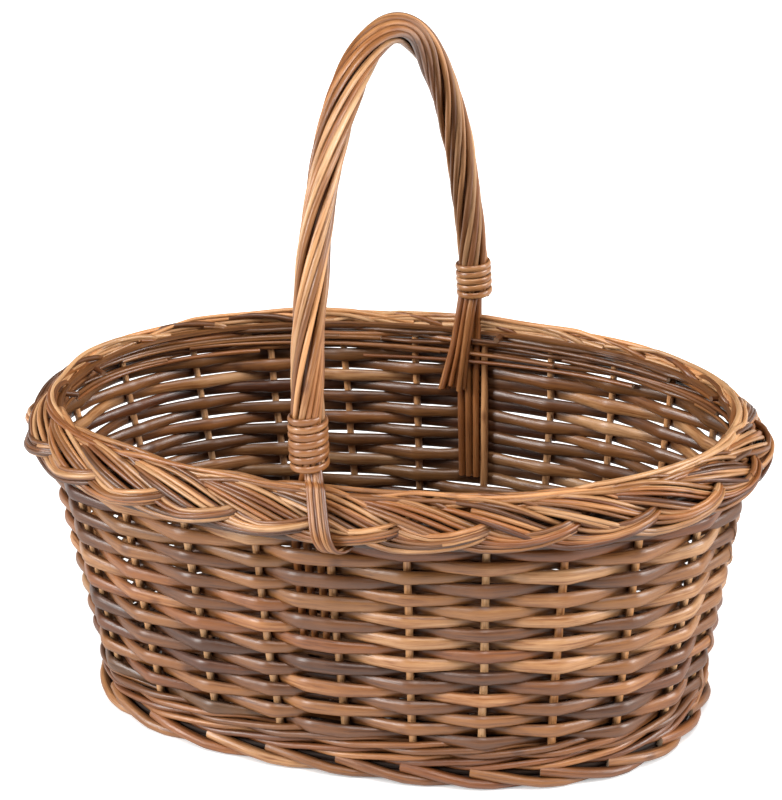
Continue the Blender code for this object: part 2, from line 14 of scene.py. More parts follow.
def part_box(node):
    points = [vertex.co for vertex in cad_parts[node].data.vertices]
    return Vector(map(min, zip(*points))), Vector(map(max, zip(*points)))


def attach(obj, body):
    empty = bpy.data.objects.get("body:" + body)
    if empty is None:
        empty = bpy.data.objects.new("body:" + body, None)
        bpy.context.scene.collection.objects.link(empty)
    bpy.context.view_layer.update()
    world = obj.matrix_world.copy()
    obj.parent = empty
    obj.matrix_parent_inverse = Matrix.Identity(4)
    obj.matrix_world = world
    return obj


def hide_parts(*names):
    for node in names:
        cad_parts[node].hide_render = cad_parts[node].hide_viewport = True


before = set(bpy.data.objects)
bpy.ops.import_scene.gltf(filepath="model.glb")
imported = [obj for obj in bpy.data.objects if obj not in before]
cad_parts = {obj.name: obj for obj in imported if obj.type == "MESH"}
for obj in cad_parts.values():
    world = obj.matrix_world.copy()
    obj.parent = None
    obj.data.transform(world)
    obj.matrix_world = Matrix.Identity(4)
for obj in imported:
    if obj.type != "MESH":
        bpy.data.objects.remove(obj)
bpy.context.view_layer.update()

bl_info = {
    "name": "Willow foraging basket",
    "version": (1, 0, 0),
    "blender": (4, 5, 0),
    "location": "View3D > Sidebar > Basket",
    "description": "Weaves an oval willow basket with a plaited rim and a roped handle",
    "category": "Add Mesh",
}

MM = 0.001
BODY = "root"

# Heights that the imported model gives.
STAKE_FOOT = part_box("stake_01")[0].z
STAKE_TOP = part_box("stake_01")[1].z
FOOT_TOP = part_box("foot_border")[1].z
RIM_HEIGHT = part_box("border_strand_1")[1].z

# The ovals: an exponent of 2 is a plain ellipse, and more is squarer. Their direction is
# measured over a step to both sides, which is a share of the way round.
FOOT_EXPONENT = 2.5
RIM_EXPONENT = 2.17
OVAL_SAMPLES = 1440
TANGENT_STEP = 0.002

# The base: its sticks, and the first rounds, which pass the long sticks as one bunch.
LONG_STICKS = 5
SHORT_STICKS = 7
BUNCHED_ROUNDS = 5

# Where the middle stakes stand, and the bow's rods in the front and the back wall, and the
# heights between which the siding passes outside the bow's rods in the back wall.
MIDDLE_STAKE_X = 13.2 * MM
BOW_ROD_X = {True: (6.6 * MM, -0.6 * MM, -7.4 * MM), False: (7.9 * MM, 3.0 * MM, -1.9 * MM)}
BOW_ROD = 4.6 * MM
BOW_WOVEN_FROM = 88 * MM
BOW_WOVEN_TO = 166 * MM

# The wale, the border and the roping are made of this many bundles or rods.
BUNDLES = 3

# Siding: how much higher than deep its rods are, and how far they rise at one stake and
# dip at the next.
SIDING_FLAT = 1.8
ROW_LEAN = 0.85 * MM

# Rods: how far their thickness wavers, how far from round they are, how dark the painted
# shade along their sides is and where an edge counts as a cut.
WAVER = 0.045
OVALNESS = 0.035
EDGE_SHADE = 0.68
SHARP_CUT = math.radians(50)


def length(name, description, millimetres):
    """A length that a user can set, in metres, with its default in millimetres."""
    return FloatProperty(name=name, description=description, default=millimetres * MM,
                         min=0, precision=4, unit="LENGTH")


def angle(name, description, radians):
    """An angle that a user can set, with its default in radians."""
    return FloatProperty(name=name, description=description, default=radians,
                         unit="ROTATION")


def factor(name, description, value):
    """A plain number that a user can set."""
    return FloatProperty(name=name, description=description, default=value)


def whole(name, description, value):
    """A whole number that a user can set."""
    return IntProperty(name=name, description=description, default=value)


def tone(name, description, colour):
    """A colour that a user can set."""
    return FloatVectorProperty(name=name, description=description, default=colour,
                               size=3, min=0, max=1, subtype="COLOR")


class WallSizes(bpy.types.PropertyGroup):
    """Sizes of the base, the foot, the wall and the siding."""

    stakes: whole("Stakes", "Uprights round the wall", 24)
    rows: whole("Rows", "Rows of siding", 19)
    foot_length: length("Foot length", "Wall's middle line at the foot, along X", 346)
    foot_width: length("Foot width", "Wall's middle line at the foot, along Y", 220)
    top_length: length("Top length", "Wall's middle line under the border, along X", 405)
    top_width: length("Top width", "Wall's middle line under the border, along Y", 248)
    top_height: length("Wall height", "Where the top length and width are taken", 157)
    first_row: length("First row", "Height of the lowest row of siding", 28.2)
    last_row: length("Last row", "Height of the highest row of siding", 150)
    stake_rod: length("Stake", "Thickness of a stake at the foot", 4.8)
    siding_rod: length("Siding rod", "Thickness of a siding rod at its butt", 4.95)
    packing_rod: length("Packing rod", "Thickness of the rods under the border", 3.1)
    wale_rod: length("Wale rod", "Thickness of a wale rod", 3.9)
    foot_rod: length("Foot rod", "Thickness of a foot stroke at its heel", 6.8)
    base_rod: length("Base rod", "Thickness of the base sticks", 5.4)


class RimSizes(bpy.types.PropertyGroup):
    """Sizes of the plaited border."""

    waves: whole("Waves", "Full waves of each bundle", 8)
    lanes: whole("Rods a bundle", "Rods side by side", 7)
    length: length("Length", "Plait's middle line, along X", 416.8)
    width: length("Width", "Plait's middle line, along Y", 276.8)
    height: length("Height", "Plait's middle line, over the ground", 168.5)
    far_rise: length("Far rise", "How much higher the far side stands", 1.5)
    half_width: length("Half width", "From the middle line to the outermost rod", 15.2)
    lift: length("Lift", "How far a bundle climbs over the next", 3.1)
    rod: length("Rod", "Thickness of a border rod at its butt", 3.2)
    lean: angle("Lean", "How far the plait leans outward", math.radians(46.5))


class HandleSizes(bpy.types.PropertyGroup):
    """Sizes of the bow, its roping, its bindings and its tails."""

    offset: length("Offset", "Handle's plane, along X", 6.5)
    half_span: length("Half span", "Middle of the handle at its shoulders, along Y", 127)
    height: length("Height", "Top of the handle", 400)
    thickness: length("Thickness", "Across the roping", 17.6)
    shoulder: length("Shoulder", "Where the roping starts, over the ground", 191.9)
    core: length("Core", "Thickness of the bow under the roping", 9.2)
    tip: length("Tip", "Where the bow's ends stop in the wall", 84)
    squareness: factor("Squareness", "2 is a plain ellipse", 2.05)
    rods: whole("Rods", "Rods in the roping", 12)
    turns: factor("Turns", "Turns of the roping", 2.3)
    loops: whole("Loops", "Loops of each binding", 7)


class WillowTones(bpy.types.PropertyGroup):
    """Colours of the willow, from the darkest rods to the palest."""

    dark: tone("Dark bark", "Darkest rods", (0.068, 0.021, 0.005))
    brown: tone("Brown bark", "Most of the rods", (0.160, 0.056, 0.014))
    tan: tone("Tan bark", "Lighter rods", (0.300, 0.120, 0.034))
    pale: tone("Pale bark", "Palest rods", (0.64, 0.36, 0.17))
    olive: tone("Olive bark", "Tint of the greener rods", (0.22, 0.122, 0.036))
    pith: tone("Cut end", "Wood of a cut end", (0.52, 0.37, 0.25))


class StudioSettings(bpy.types.PropertyGroup):
    """Where the camera stands and how bright the studio is."""

    azimuth: angle("Azimuth", "Camera's turn from -Y to +X", 0.3929)
    elevation: angle("Elevation", "Camera's height angle", 0.3762)
    roll: angle("Roll", "Camera's tilt", -0.045)
    distance: length("Distance", "Camera to its target", 1573.8)
    target_x: length("Target X", "Where the camera looks, along X", 1.6)
    target_z: length("Target Z", "Where the camera looks, upward", 178.5)
    lens: FloatProperty(name="Lens", description="Focal length in millimetres",
                        default=128.07, unit="CAMERA")
    sky: factor("Sky", "Strength of the even light", 0.18)
    key: factor("Key", "Strength of the key light", 3.0)
    fill: factor("Fill", "Strength of the second light", 3.1)
    top: factor("Top", "Strength of the light above", 1.75)
    key_turn: angle("Turn", "Side lights' angle from the camera", math.radians(74))
    key_rise: angle("Rise", "Height angle of the side lights", math.radians(24))
    spread: angle("Spread", "Width of each light's disk", math.radians(27))


# Plan of the basket

def settings():
    """The sizes and colours in use."""
    return bpy.context.scene


def oval_points(half_length, half_width, exponent, shares):
    """Plan points at shares of the way round an oval, counted from its +X end."""
    angles = np.linspace(0, 2 * math.pi, OVAL_SAMPLES + 1)
    across, up = np.cos(angles), np.sin(angles)
    xs = half_length * np.sign(across) * np.abs(across) ** (2 / exponent)
    ys = half_width * np.sign(up) * np.abs(up) ** (2 / exponent)
    steps = np.hypot(np.diff(xs), np.diff(ys))
    along = np.concatenate([[0], np.cumsum(steps)]) / steps.sum()
    turns = np.mod(shares, 1)
    return np.column_stack([np.interp(turns, along, xs), np.interp(turns, along, ys)])


def wall_rise(heights, shares):
    """Heights as shares of the wall's, from 0 at the stakes' feet to 1 at its top."""
    climb = settings().wall_sizes.top_height - STAKE_FOOT
    return (np.broadcast_to(heights, shares.shape) - STAKE_FOOT) / climb


def wall_oval(rise, shares):
    """Plan points of the wall's middle line, between its foot's oval and its top's."""
    wall = settings().wall_sizes
    low = oval_points(wall.foot_length / 2, wall.foot_width / 2, FOOT_EXPONENT, shares)
    high = oval_points(wall.top_length / 2, wall.top_width / 2, RIM_EXPONENT, shares)
    return low * (1 - rise[:, None]) + high * rise[:, None]


def wall_out(rise, shares):
    """Unit directions out of the wall, in plan."""
    along = wall_oval(rise, shares + TANGENT_STEP) - wall_oval(rise, shares - TANGENT_STEP)
    out = np.column_stack([along[:, 1], -along[:, 0]])
    return out / np.linalg.norm(out, axis=1, keepdims=True)


def wall_line(heights, shares, outsets=0.0, level=None):
    """Points at heights on the wall's middle line, moved outward by outsets.

    They follow the wall's oval at their own heights, or at one level where it is given.
    """
    shares = np.asarray(shares, float)
    rise = wall_rise(heights if level is None else level, shares)
    moved = wall_out(rise, shares) * np.broadcast_to(outsets, shares.shape)[:, None]
    return np.column_stack([wall_oval(rise, shares) + moved,
                            np.broadcast_to(heights, shares.shape)])


def outward(shares, heights):
    """Unit directions out of the wall as level 3-D directions."""
    shares = np.asarray(shares, float)
    out = wall_out(wall_rise(heights, shares), shares)
    return np.column_stack([out, np.zeros(len(out))])


def wall_girth():
    """The wall's length round its top."""
    wall = settings().wall_sizes
    rim = oval_points(wall.top_length / 2, wall.top_width / 2, RIM_EXPONENT,
                      np.linspace(0, 1 - 1 / OVAL_SAMPLES, OVAL_SAMPLES))
    return float(np.linalg.norm(rim - np.roll(rim, -1, axis=0), axis=1).sum())


def shares_round(count, offset):
    """Even shares round the oval, eased so that the middle ones lie at X = offset."""
    even = np.arange(count) / count
    return even - offset / wall_girth() * np.sin(2 * math.pi * even)


def stake_shares():
    """Where the stakes stand."""
    return shares_round(settings().wall_sizes.stakes, MIDDLE_STAKE_X)


def share_at(x, front):
    """The share of the way round where the wall's long side crosses X = x."""
    return 0.75 + x / wall_girth() if front else 0.25 - x / wall_girth()


def rim_frames(shares):
    """Middle points of the border with its wide and deep directions."""
    rim = settings().rim_sizes
    wall = settings().wall_sizes
    plan = oval_points(rim.length / 2, rim.width / 2, RIM_EXPONENT, shares)
    out = outward(shares, wall.top_height)
    up = np.array([0, 0, 1.0])
    rise = rim.far_rise * np.maximum(np.sin(2 * math.pi * shares), 0)
    middle = np.column_stack([plan, rim.height + rise])
    wide = out * math.cos(rim.lean) - up * math.sin(rim.lean)
    deep = out * math.sin(rim.lean) + up * math.cos(rim.lean)
    return middle, wide, deep


# Rods as meshes

def run_along(line):
    """Distance of each point along a line of points."""
    steps = np.linalg.norm(np.diff(line, axis=0), axis=1)
    return np.concatenate([[0], np.cumsum(steps)])


def rod_axes(line, reference):
    """Two directions across a line of points, square to it and to each other.

    The first one follows reference, or turns as little as it can.
    """
    along = np.gradient(line, axis=0)
    along /= np.linalg.norm(along, axis=1, keepdims=True)
    if reference is None:
        first = np.cross(along[0], [0.3, 0.2, 1.0])
        side = np.empty_like(line)
        for index, direction in enumerate(along):
            first = first - direction * (first @ direction)
            first = first / np.linalg.norm(first)
            side[index] = first
    else:
        side = np.broadcast_to(reference, line.shape)
        side = side - along * (side * along).sum(axis=1, keepdims=True)
        side /= np.linalg.norm(side, axis=1, keepdims=True)
    return side, np.cross(along, side)


class RodWork:
    """Rods gathered into one piece, with the places and tones that their bark reads."""

    def __init__(self, seed):
        self.draw = np.random.default_rng(seed)
        self.pick = self.draw.uniform
        self.places, self.grain, self.faces, self.cuts = [], [], [], []
        self.marks = {"rod_tone": [], "rod_hue": [], "rod_inside": [], "rod_dust": []}
        self.count = 0

    def noise(self, run, wavelength, spread):
        """Even random values along a run of distances, eased between knots."""
        values = self.pick(-spread, spread, int(run[-1] / wavelength) + 3)
        place = run / wavelength
        low = np.floor(place).astype(int)
        ease = place - low
        ease = ease * ease * (3 - 2 * ease)
        return values[low] * (1 - ease) + values[low + 1] * ease

    def add(self, line, radii, reference=None, flat=1.0, sides=10, shade=None, hue=None,
            inside=None, rough=1.0, fresh=1.0, dust=0.0, crease=0.0, flank=EDGE_SHADE):
        """One rod along a line of points, with a cut face at each end.

        Faces that look into the basket get painted shade, unless inside gives one value.
        A fresh cut, at 1, is as pale as pith, and an old one, at 0, as brown as bark.
        Painted shade lies along the sides of a rod as flank says, all round it where dust says
        and, where a rod runs outside or inside the stakes, as crease from 1 to -1 says, on the
        side that faces them.
        """
        line = np.asarray(line, float)
        run = run_along(line)
        side, up = rod_axes(line, reference)
        radii = np.broadcast_to(radii, len(line)) * (1 + self.noise(run, 14 * MM, WAVER * rough))
        turns = 2 * math.pi * np.arange(sides) / sides
        phase = self.pick(0, 2 * math.pi) + self.noise(run, 40 * MM, 1.5)
        reach = radii[:, None] * (1 + OVALNESS * rough * np.cos(2 * turns + phase[:, None]))
        facing = np.cos(turns)
        across, rise = reach * facing, reach * np.sin(turns)
        far = np.broadcast_to(self.pick(0, 40) + run[:, None], reach.shape)
        self.grain.append(np.stack([across, rise, far], axis=2).reshape(-1, 3))
        rise = rise * np.reshape(flat, (-1, 1))
        places = (line[:, None, :] + side[:, None, :] * across[:, :, None]
                  + up[:, None, :] * rise[:, :, None])
        self.places.append(places.reshape(-1, 3))

        rings = self.count + np.arange(reach.size).reshape(reach.shape)
        here, there = rings[:-1], rings[1:]
        quads = np.stack([here, np.roll(here, -1, axis=1), np.roll(there, -1, axis=1), there],
                         axis=2).reshape(-1, 4)
        self.faces += quads.tolist() + [rings[0][::-1].tolist(), rings[-1].tolist()]
        self.cuts += [0.0] * len(quads) + [fresh, fresh]
        self.count += reach.size

        shade = self.pick(0.15, 0.85) if shade is None else shade
        hue = self.pick(0, 1) if hue is None else hue
        # Painted shade: faces that look into the basket are greyer and darker, more so lower
        # down.
        if inside is None:
            inward = ((line[:, None, :] - places) * rod_reference(line)[:, None, :]).sum(axis=2)
            depth = np.clip(1.3 - 1.6 * line[:, 2] / RIM_HEIGHT, 0.0, 1)[:, None]
            inside = np.clip(0.3 + 1.1 * inward / reach, 0, 1) * depth
        # Painted shade along the rod's sides, on the side that faces the stakes and all round.
        edge = 0.0
        if reference is not None:
            edge = np.reshape(flank, (-1, 1)) * np.clip(1 - np.abs(facing) / 0.6, 0, 1)
        hidden = np.clip(-np.reshape(crease, (-1, 1)) * facing, 0, 1) ** 1.4
        all_painted_shade = np.maximum(np.maximum(edge, hidden), np.reshape(dust, (-1, 1)))
        for title, values in zip(self.marks, (shade, hue, inside, all_painted_shade)):
            self.marks[title].append(np.broadcast_to(values, reach.shape).ravel())

    def make(self, name, finish, nodes):
        """The piece itself, standing for CAD nodes and riding on the basket's body."""
        mesh = bpy.data.meshes.new(name)
        mesh.from_pydata(np.concatenate(self.places).tolist(), [], self.faces)
        layers = [("rod_grain", "FLOAT_VECTOR", "POINT", "vector", np.concatenate(self.grain))]
        layers += [(title, "FLOAT", "POINT", "value", np.concatenate(values))
                   for title, values in self.marks.items()]
        layers.append(("rod_cut", "FLOAT", "FACE", "value", np.array(self.cuts)))
        for title, kind, domain, key, values in layers:
            layer = mesh.attributes.new(title, kind, domain)
            layer.data.foreach_set(key, values.astype(np.float32).ravel())
        mesh.shade_smooth()
        mesh.set_sharp_from_angle(angle=SHARP_CUT)
        mesh.materials.append(finish)
        piece = bpy.data.objects.new(name, mesh)
        bpy.context.scene.collection.objects.link(piece)
        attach(piece, BODY)
        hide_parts(*nodes)


def taper(count, butt, tip):
    """Radii that change evenly from butt to tip along a rod."""
    return butt + (tip - butt) * np.linspace(0, 1, count)


def rounded_line(corners, bend, steps=4, spacing=9 * MM):
    """A line through corners that are rounded over a length on both sides of each."""
    corners = np.asarray(corners, float)
    line = [corners[0]]
    for before, corner, after in zip(corners[:-2], corners[1:-1], corners[2:]):
        back, ahead = before - corner, after - corner
        far_back, far_ahead = np.linalg.norm(back), np.linalg.norm(ahead)
        start = corner + back / far_back * min(bend, far_back * 0.45)
        end = corner + ahead / far_ahead * min(bend, far_ahead * 0.45)
        line += even_points(line[-1], start, spacing)
        for step in range(1, steps + 1):
            share = step / steps
            line.append(start * (1 - share) ** 2 + corner * 2 * share * (1 - share)
                        + end * share ** 2)
    line += even_points(line[-1], corners[-1], spacing)
    return np.array(line)


def even_points(start, end, spacing):
    """Points after start up to end, at most spacing apart."""
    count = max(1, int(np.ceil(np.linalg.norm(end - start) / spacing)))
    return [start + (end - start) * step / count for step in range(1, count + 1)]


def rod_reference(line):
    """Level directions out of the basket at each point of a line."""
    out = np.array(line) * [1.0, 1.8, 0]
    return out / np.maximum(np.linalg.norm(out, axis=1, keepdims=True), 1e-9)


# Finishes

def empty_tree(holder):
    """The node tree of a material or a world, with nothing in it."""
    holder.use_nodes = True
    holder.node_tree.nodes.clear()
    return holder.node_tree


def feed(tree, socket, value):
    """Link a socket to another one or give it a plain value, a colour without its alpha."""
    if isinstance(value, bpy.types.NodeSocket):
        tree.links.new(value, socket)
    elif socket.type == "RGBA":
        socket.default_value = (*value, 1)
    else:
        socket.default_value = value


def node(tree, kind, place, **values):
    """A shader node with its settings and its inputs, whose spaces are written as _."""
    made = tree.nodes.new(kind)
    made.location = place
    for key, value in values.items():
        title = key.replace("_", " ")
        if title in made.inputs:
            feed(tree, made.inputs[title], value)
        else:
            setattr(made, key, value)
    return made


def blend_colour(tree, place, share, first, second, mode="MIX"):
    """A colour mix whose three inputs are sockets or plain values."""
    mix = node(tree, "ShaderNodeMix", place, data_type="RGBA", blend_type=mode)
    for index, value in ((0, share), (6, first), (7, second)):
        feed(tree, mix.inputs[index], value)
    return mix.outputs[2]


def arithmetic(tree, place, operation, *values, clamp=False):
    """A calculation with sockets or plain values."""
    made = node(tree, "ShaderNodeMath", place, operation=operation, use_clamp=clamp)
    for socket, value in zip(made.inputs, values):
        feed(tree, socket, value)
    return made.outputs[0]


def add_up(tree, place, total, *parts):
    """A total with sockets added to it, each times its weight."""
    for step, (part, weight) in enumerate(parts):
        total = arithmetic(tree, (place[0] + 160 * step, place[1] - 60 * step),
                           "MULTIPLY_ADD", part, weight, total)
    return total


def remap(tree, place, value, low, high, at_low, at_high):
    """A socket's values turned from low to high into at_low to at_high, and held there."""
    return node(tree, "ShaderNodeMapRange", place, clamp=True, Value=value, From_Min=low,
                From_Max=high, To_Min=at_low, To_Max=at_high).outputs[0]


def stretched(tree, place, grain, stretch):
    """Places on the rods, drawn out along them."""
    return node(tree, "ShaderNodeMapping", place, Vector=grain,
                Scale=(1, 1, stretch)).outputs[0]


def stretched_noise(tree, place, grain, stretch, scale, detail):
    """Noise drawn out along the rods."""
    drawn_out = stretched(tree, place, grain, stretch)
    return node(tree, "ShaderNodeTexNoise", (place[0] + 180, place[1]), Vector=drawn_out,
                Scale=scale, Detail=detail, Roughness=0.6).outputs["Fac"]


def willow_finish(name, shift=0.0, contrast=1.0, gloss=0.0, warm=0.0):
    """Willow bark: streaks, blotches, knots, pale cut ends, and painted shade inside and in
    creases.

    Shift makes all rods paler, contrast says how far they differ, gloss polishes them
    and warm reddens them.
    """
    old = bpy.data.materials.get(name)
    if old:
        return old
    tones = settings().willow_tones
    material = bpy.data.materials.new(name)
    tree = empty_tree(material)
    marks = {}
    for row, title in enumerate(("grain", "tone", "hue", "inside", "cut", "dust")):
        mark = node(tree, "ShaderNodeAttribute", (-1500, 200 * row),
                    attribute_name=f"rod_{title}")
        marks[title] = mark.outputs["Vector" if title == "grain" else "Fac"]
    grain = marks["grain"]

    streaks = stretched_noise(tree, (-1300, 0), grain, 0.035, 1100.0, 4.0)
    blotches = stretched_noise(tree, (-1300, -300), grain, 0.22, 130.0, 3.0)
    lengthwise = stretched_noise(tree, (-1300, -600), grain, 1.0, 11.0, 1.0)
    wrinkles = stretched_noise(tree, (-1300, -900), grain, 0.5, 420.0, 5.0)
    knots = node(tree, "ShaderNodeTexVoronoi", (-900, -1100), Scale=70.0, Randomness=1.0,
                 Vector=stretched(tree, (-1100, -1100), grain, 0.45))
    spots = remap(tree, (-700, -1100), knots.outputs["Distance"], 0.05, 0.16, 0.75, 0.0)
    dark_lines = remap(tree, (-700, -1400), streaks, 0.30, 0.46, 0.70, 0.0)

    level = add_up(tree, (-900, 300), 0.12 + shift + (1 - contrast) * 0.40,
                   (marks["tone"], 0.80 * contrast), (blotches, 0.44), (lengthwise, 0.40),
                   (streaks, 0.56))
    level = arithmetic(tree, (-260, 100), "SUBTRACT", level, 0.70, clamp=True)
    ramp = node(tree, "ShaderNodeValToRGB", (-100, 100), Fac=level)
    stops = ramp.color_ramp.elements
    stops[0].color = (*tones.dark, 1)
    stops[1].color = (*tones.pale, 1)
    for position, colour in ((0.33, tones.brown), (0.68, tones.tan)):
        stops.new(position).color = (*colour, 1)

    greener = arithmetic(tree, (-100, 500), "MULTIPLY_ADD", marks["hue"], 1.4, -1.2 - warm,
                         clamp=True)
    redder = arithmetic(tree, (-100, 650), "MULTIPLY_ADD", marks["hue"], -1.6, 0.75 + warm,
                        clamp=True)
    bark = ramp.outputs[0]
    for column, (share, colour, mode) in enumerate((
            (greener, tones.olive, "MIX"),
            (redder, (1.04, 0.82, 0.60), "MULTIPLY"),
            # Painted shade on faces inside the basket.
            (marks["inside"], (0.36, 0.38, 0.43), "MULTIPLY"),
            (spots, (0.42, 0.33, 0.28), "MULTIPLY"),
            (dark_lines, (0.55, 0.44, 0.36), "MULTIPLY"),
            (marks["cut"], tones.pith, "MIX"),
            # Painted shade in creases and along the sides of rods.
            (marks["dust"], (0.20, 0.13, 0.085), "MULTIPLY"))):
        bark = blend_colour(tree, (180 + 160 * column, 200), share, bark, colour, mode)

    height = add_up(tree, (900, -400), 0.0, (wrinkles, 0.45), (streaks, 0.9), (spots, 0.5))
    bump = node(tree, "ShaderNodeBump", (1400, -400), Strength=0.55, Distance=0.45 * MM,
                Height=height)
    rough = arithmetic(tree, (1200, -100), "MULTIPLY_ADD", wrinkles, 0.14, 0.32 - gloss)
    shader = node(tree, "ShaderNodeBsdfPrincipled", (1600, 200), Base_Color=bark,
                  Roughness=rough, Specular_IOR_Level=0.70 + gloss, Normal=bump.outputs[0])
    node(tree, "ShaderNodeOutputMaterial", (1900, 200), Surface=shader.outputs[0])
    return material


# Base and foot

def base_spokes():
    """Where each base stick leaves the slath and where it ends, in order round the base."""
    long_spacing, short_spacing = 6 * MM, 27 * MM
    half_slath = (SHORT_STICKS - 1) / 2 * short_spacing
    rim = wall_line(STAKE_FOOT, np.linspace(0, 1, OVAL_SAMPLES, endpoint=False), -4 * MM)[:, :2]
    back = rim[:OVAL_SAMPLES // 2]
    corner = int(np.argmin(np.abs(back[:, 0] - half_slath)))
    fan_step = 2 * corner / (LONG_STICKS + 1)
    inner, ends = [], []
    for number in range(LONG_STICKS):
        place = number - (LONG_STICKS - 1) / 2
        inner.append((half_slath + 14 * MM, place * long_spacing))
        ends.append(rim[int(round(place * fan_step)) % OVAL_SAMPLES])
    for number in range(SHORT_STICKS):
        across = half_slath - number * short_spacing
        inner.append((across, (LONG_STICKS - 1) / 2 * long_spacing + 5.4 * MM))
        ends.append(back[int(np.argmin(np.abs(back[:, 0] - across)))])
    return [np.column_stack([np.vstack([plan, np.negative(plan)]),
                             np.full(2 * len(plan), height)])
            for plan, height in ((inner, 16.8 * MM), (ends, 8.8 * MM))]


def base_finish():
    """The dull bark of the base, dark with painted shade under the basket."""
    return willow_finish("base_willow", shift=-0.16, gloss=-0.3)


def weave_base_sticks():
    """Long sticks threaded through short ones, thinned towards the wall."""
    work = RodWork(11)
    high, low = base_spokes()
    half = len(high) // 2
    radius = settings().wall_sizes.base_rod / 2
    for number in range(half):
        lengthwise = number < LONG_STICKS
        other = (half if lengthwise else 2 * half) + LONG_STICKS - 1 - number
        line = rounded_line([low[number], high[number], high[other], low[other]], 12 * MM)
        middle = np.abs(np.linspace(-1, 1, len(line)))
        # The base sticks get painted shade, as faces inside the basket do.
        work.add(line, radius * (1.12 - 0.42 * middle ** 2), flat=1.0 if lengthwise else 0.9,
                 shade=work.pick(0.2, 0.6), inside=0.8)
    work.make("base_stick_cross", base_finish(), ["base_sticks"])


def weave_base_rods():
    """Rods that spiral out from the slath, over one stick and under the next."""
    work = RodWork(12)
    high, low = base_spokes()
    spans = np.linalg.norm(low - high, axis=1, keepdims=True)
    first = high + (low - high) * (4 * MM) / spans
    last = low + (high - low) * (3.5 * MM) / spans
    spokes, rounds = len(high), 15
    half = spokes // 2
    corners = []
    for crossing in range(rounds * spokes):
        lap, spoke = divmod(crossing, spokes)
        share = crossing / (rounds * spokes - 1)
        post = first[spoke] * (1 - share) + last[spoke] * share
        group = spoke
        if lap < BUNCHED_ROUNDS and spoke % half < LONG_STICKS:
            group = spoke - spoke % half + LONG_STICKS - 1
        side = 1 if (group + lap) % 2 == 0 else -1
        corners.append(post + [0, 0, side * (4.9 - 1.3 * share) * MM])
    reach = 3 * spokes + 5
    for start in range(0, len(corners) - 2, reach):
        line = rounded_line(corners[start:start + reach + 1], 6 * MM, steps=3,
                            spacing=14 * MM)
        butt = (2.75 - 0.45 * start / len(corners)) * MM
        # The base rods get painted shade as well.
        work.add(line, taper(len(line), butt, butt * 0.72), reference=(0, 0, 1), sides=8,
                 inside=0.8)
    # Two rods on each long side of the slath, woven through the short sticks.
    for side, row in np.ndindex(2, 2):
        corners = high[side * half + LONG_STICKS:(side + 1) * half].copy()
        corners[:, 1] += (row * 3.2 - 2.2) * MM * (1 - 2 * side)
        corners[:, 2] += np.where((np.arange(len(corners)) + row) % 2, 3.4, -3.4) * MM
        line = rounded_line(corners, 6 * MM, steps=3, spacing=14 * MM)
        work.add(line, 1.5 * MM, reference=(0, 0, 1), sides=8, inside=0.8)
    # Rounds that close the base against the wall, dark in tone and with painted shade: their
    # outset, height and thickness.
    around = np.linspace(0, 1, 240)
    for offset, height, thick in ((-7.0, 3.0, 5.2), (-5.8, 7.3, 4.8), (-5.6, 11.6, 4.4),
                                  (-5.9, 15.6, 3.8), (-3.4, 5.4, 4.4), (-3.6, 9.8, 4.4),
                                  (-4.2, 13.8, 4.2), (-5.0, 19.0, 3.8), (-4.6, 23.0, 3.6),
                                  (0.4, 8.6, 4.0), (0.2, 4.6, 4.2)):
        line = wall_line(height * MM, around, offset * MM, level=STAKE_FOOT)
        line[:, 2] += work.noise(run_along(line), 40 * MM, 0.5 * MM)
        work.add(line, thick / 2 * MM, reference=(0, 0, 1), sides=8, shade=0.1, inside=1.0)
    work.make("base_weave", base_finish(), ["base_weaver"])


def weave_foot():
    """Strokes round the foot: each starts at a cut heel and dives under the next two."""
    work = RodWork(13)
    shares = stake_shares()
    count = len(shares)
    radius = settings().wall_sizes.foot_rod / 2
    # Along a stroke, in stakes: its height and how far out of the wall it lies.
    stations = (-0.16, 0.0, 0.25, 0.55, 0.85, 1.15, 1.5, 1.9)
    heights = (9.9, 9.4, 8.3, 6.4, 4.4, 3.4, 3.05, 2.9)
    outsets = (3.2, 4.0, 5.4, 6.2, 6.3, 5.0, 1.5, -2.0)
    fine = np.linspace(stations[0], stations[-1], 34)
    unrolled = np.concatenate([shares - 1, shares, shares + 1])
    for number in range(count):
        where = number + fine + work.pick(-0.04, 0.04)
        along = np.interp(where + count, np.arange(3 * count), unrolled)
        height = (np.interp(fine, stations, heights) * MM
                  + work.pick(-0.3, 0.5) * MM * np.clip(1 - fine, 0, 1))
        line = wall_line(height, along, np.interp(fine, stations, outsets) * MM,
                         level=STAKE_FOOT)
        butt = radius * work.pick(0.92, 1.04)
        radii = taper(len(line), butt, butt * 0.76)
        line[:, 2] = np.maximum(line[:, 2], radii * 1.07)
        work.add(line, radii, reference=outward(along, STAKE_FOOT), sides=12,
                 shade=work.pick(0.35, 0.9))
    work.make("foot_strokes", willow_finish("foot_willow", shift=-0.04),
              ["foot_border"])


# Wall

def weave_stakes():
    """The uprights, from the foot up into the border."""
    radius = settings().wall_sizes.stake_rod / 2
    finish = willow_finish("stake_willow", shift=0.34, contrast=0.6)
    heights = np.linspace(STAKE_FOOT - 0.3 * MM, STAKE_TOP + 2.5 * MM, 36)
    for number, share in enumerate(stake_shares(), start=1):
        work = RodWork(100 + number)
        along = np.full(len(heights), share)
        line = wall_line(heights, along)
        run = run_along(line)
        for axis in (0, 1):
            line[:, axis] += work.noise(run, 30 * MM, 0.5 * MM)
        work.add(line, taper(len(line), radius, radius * 0.86),
                 reference=outward(along, heights), sides=12, shade=work.pick(0.35, 0.95))
        work.make(f"willow_stake_{number:02d}", finish, [f"stake_{number:02d}"])


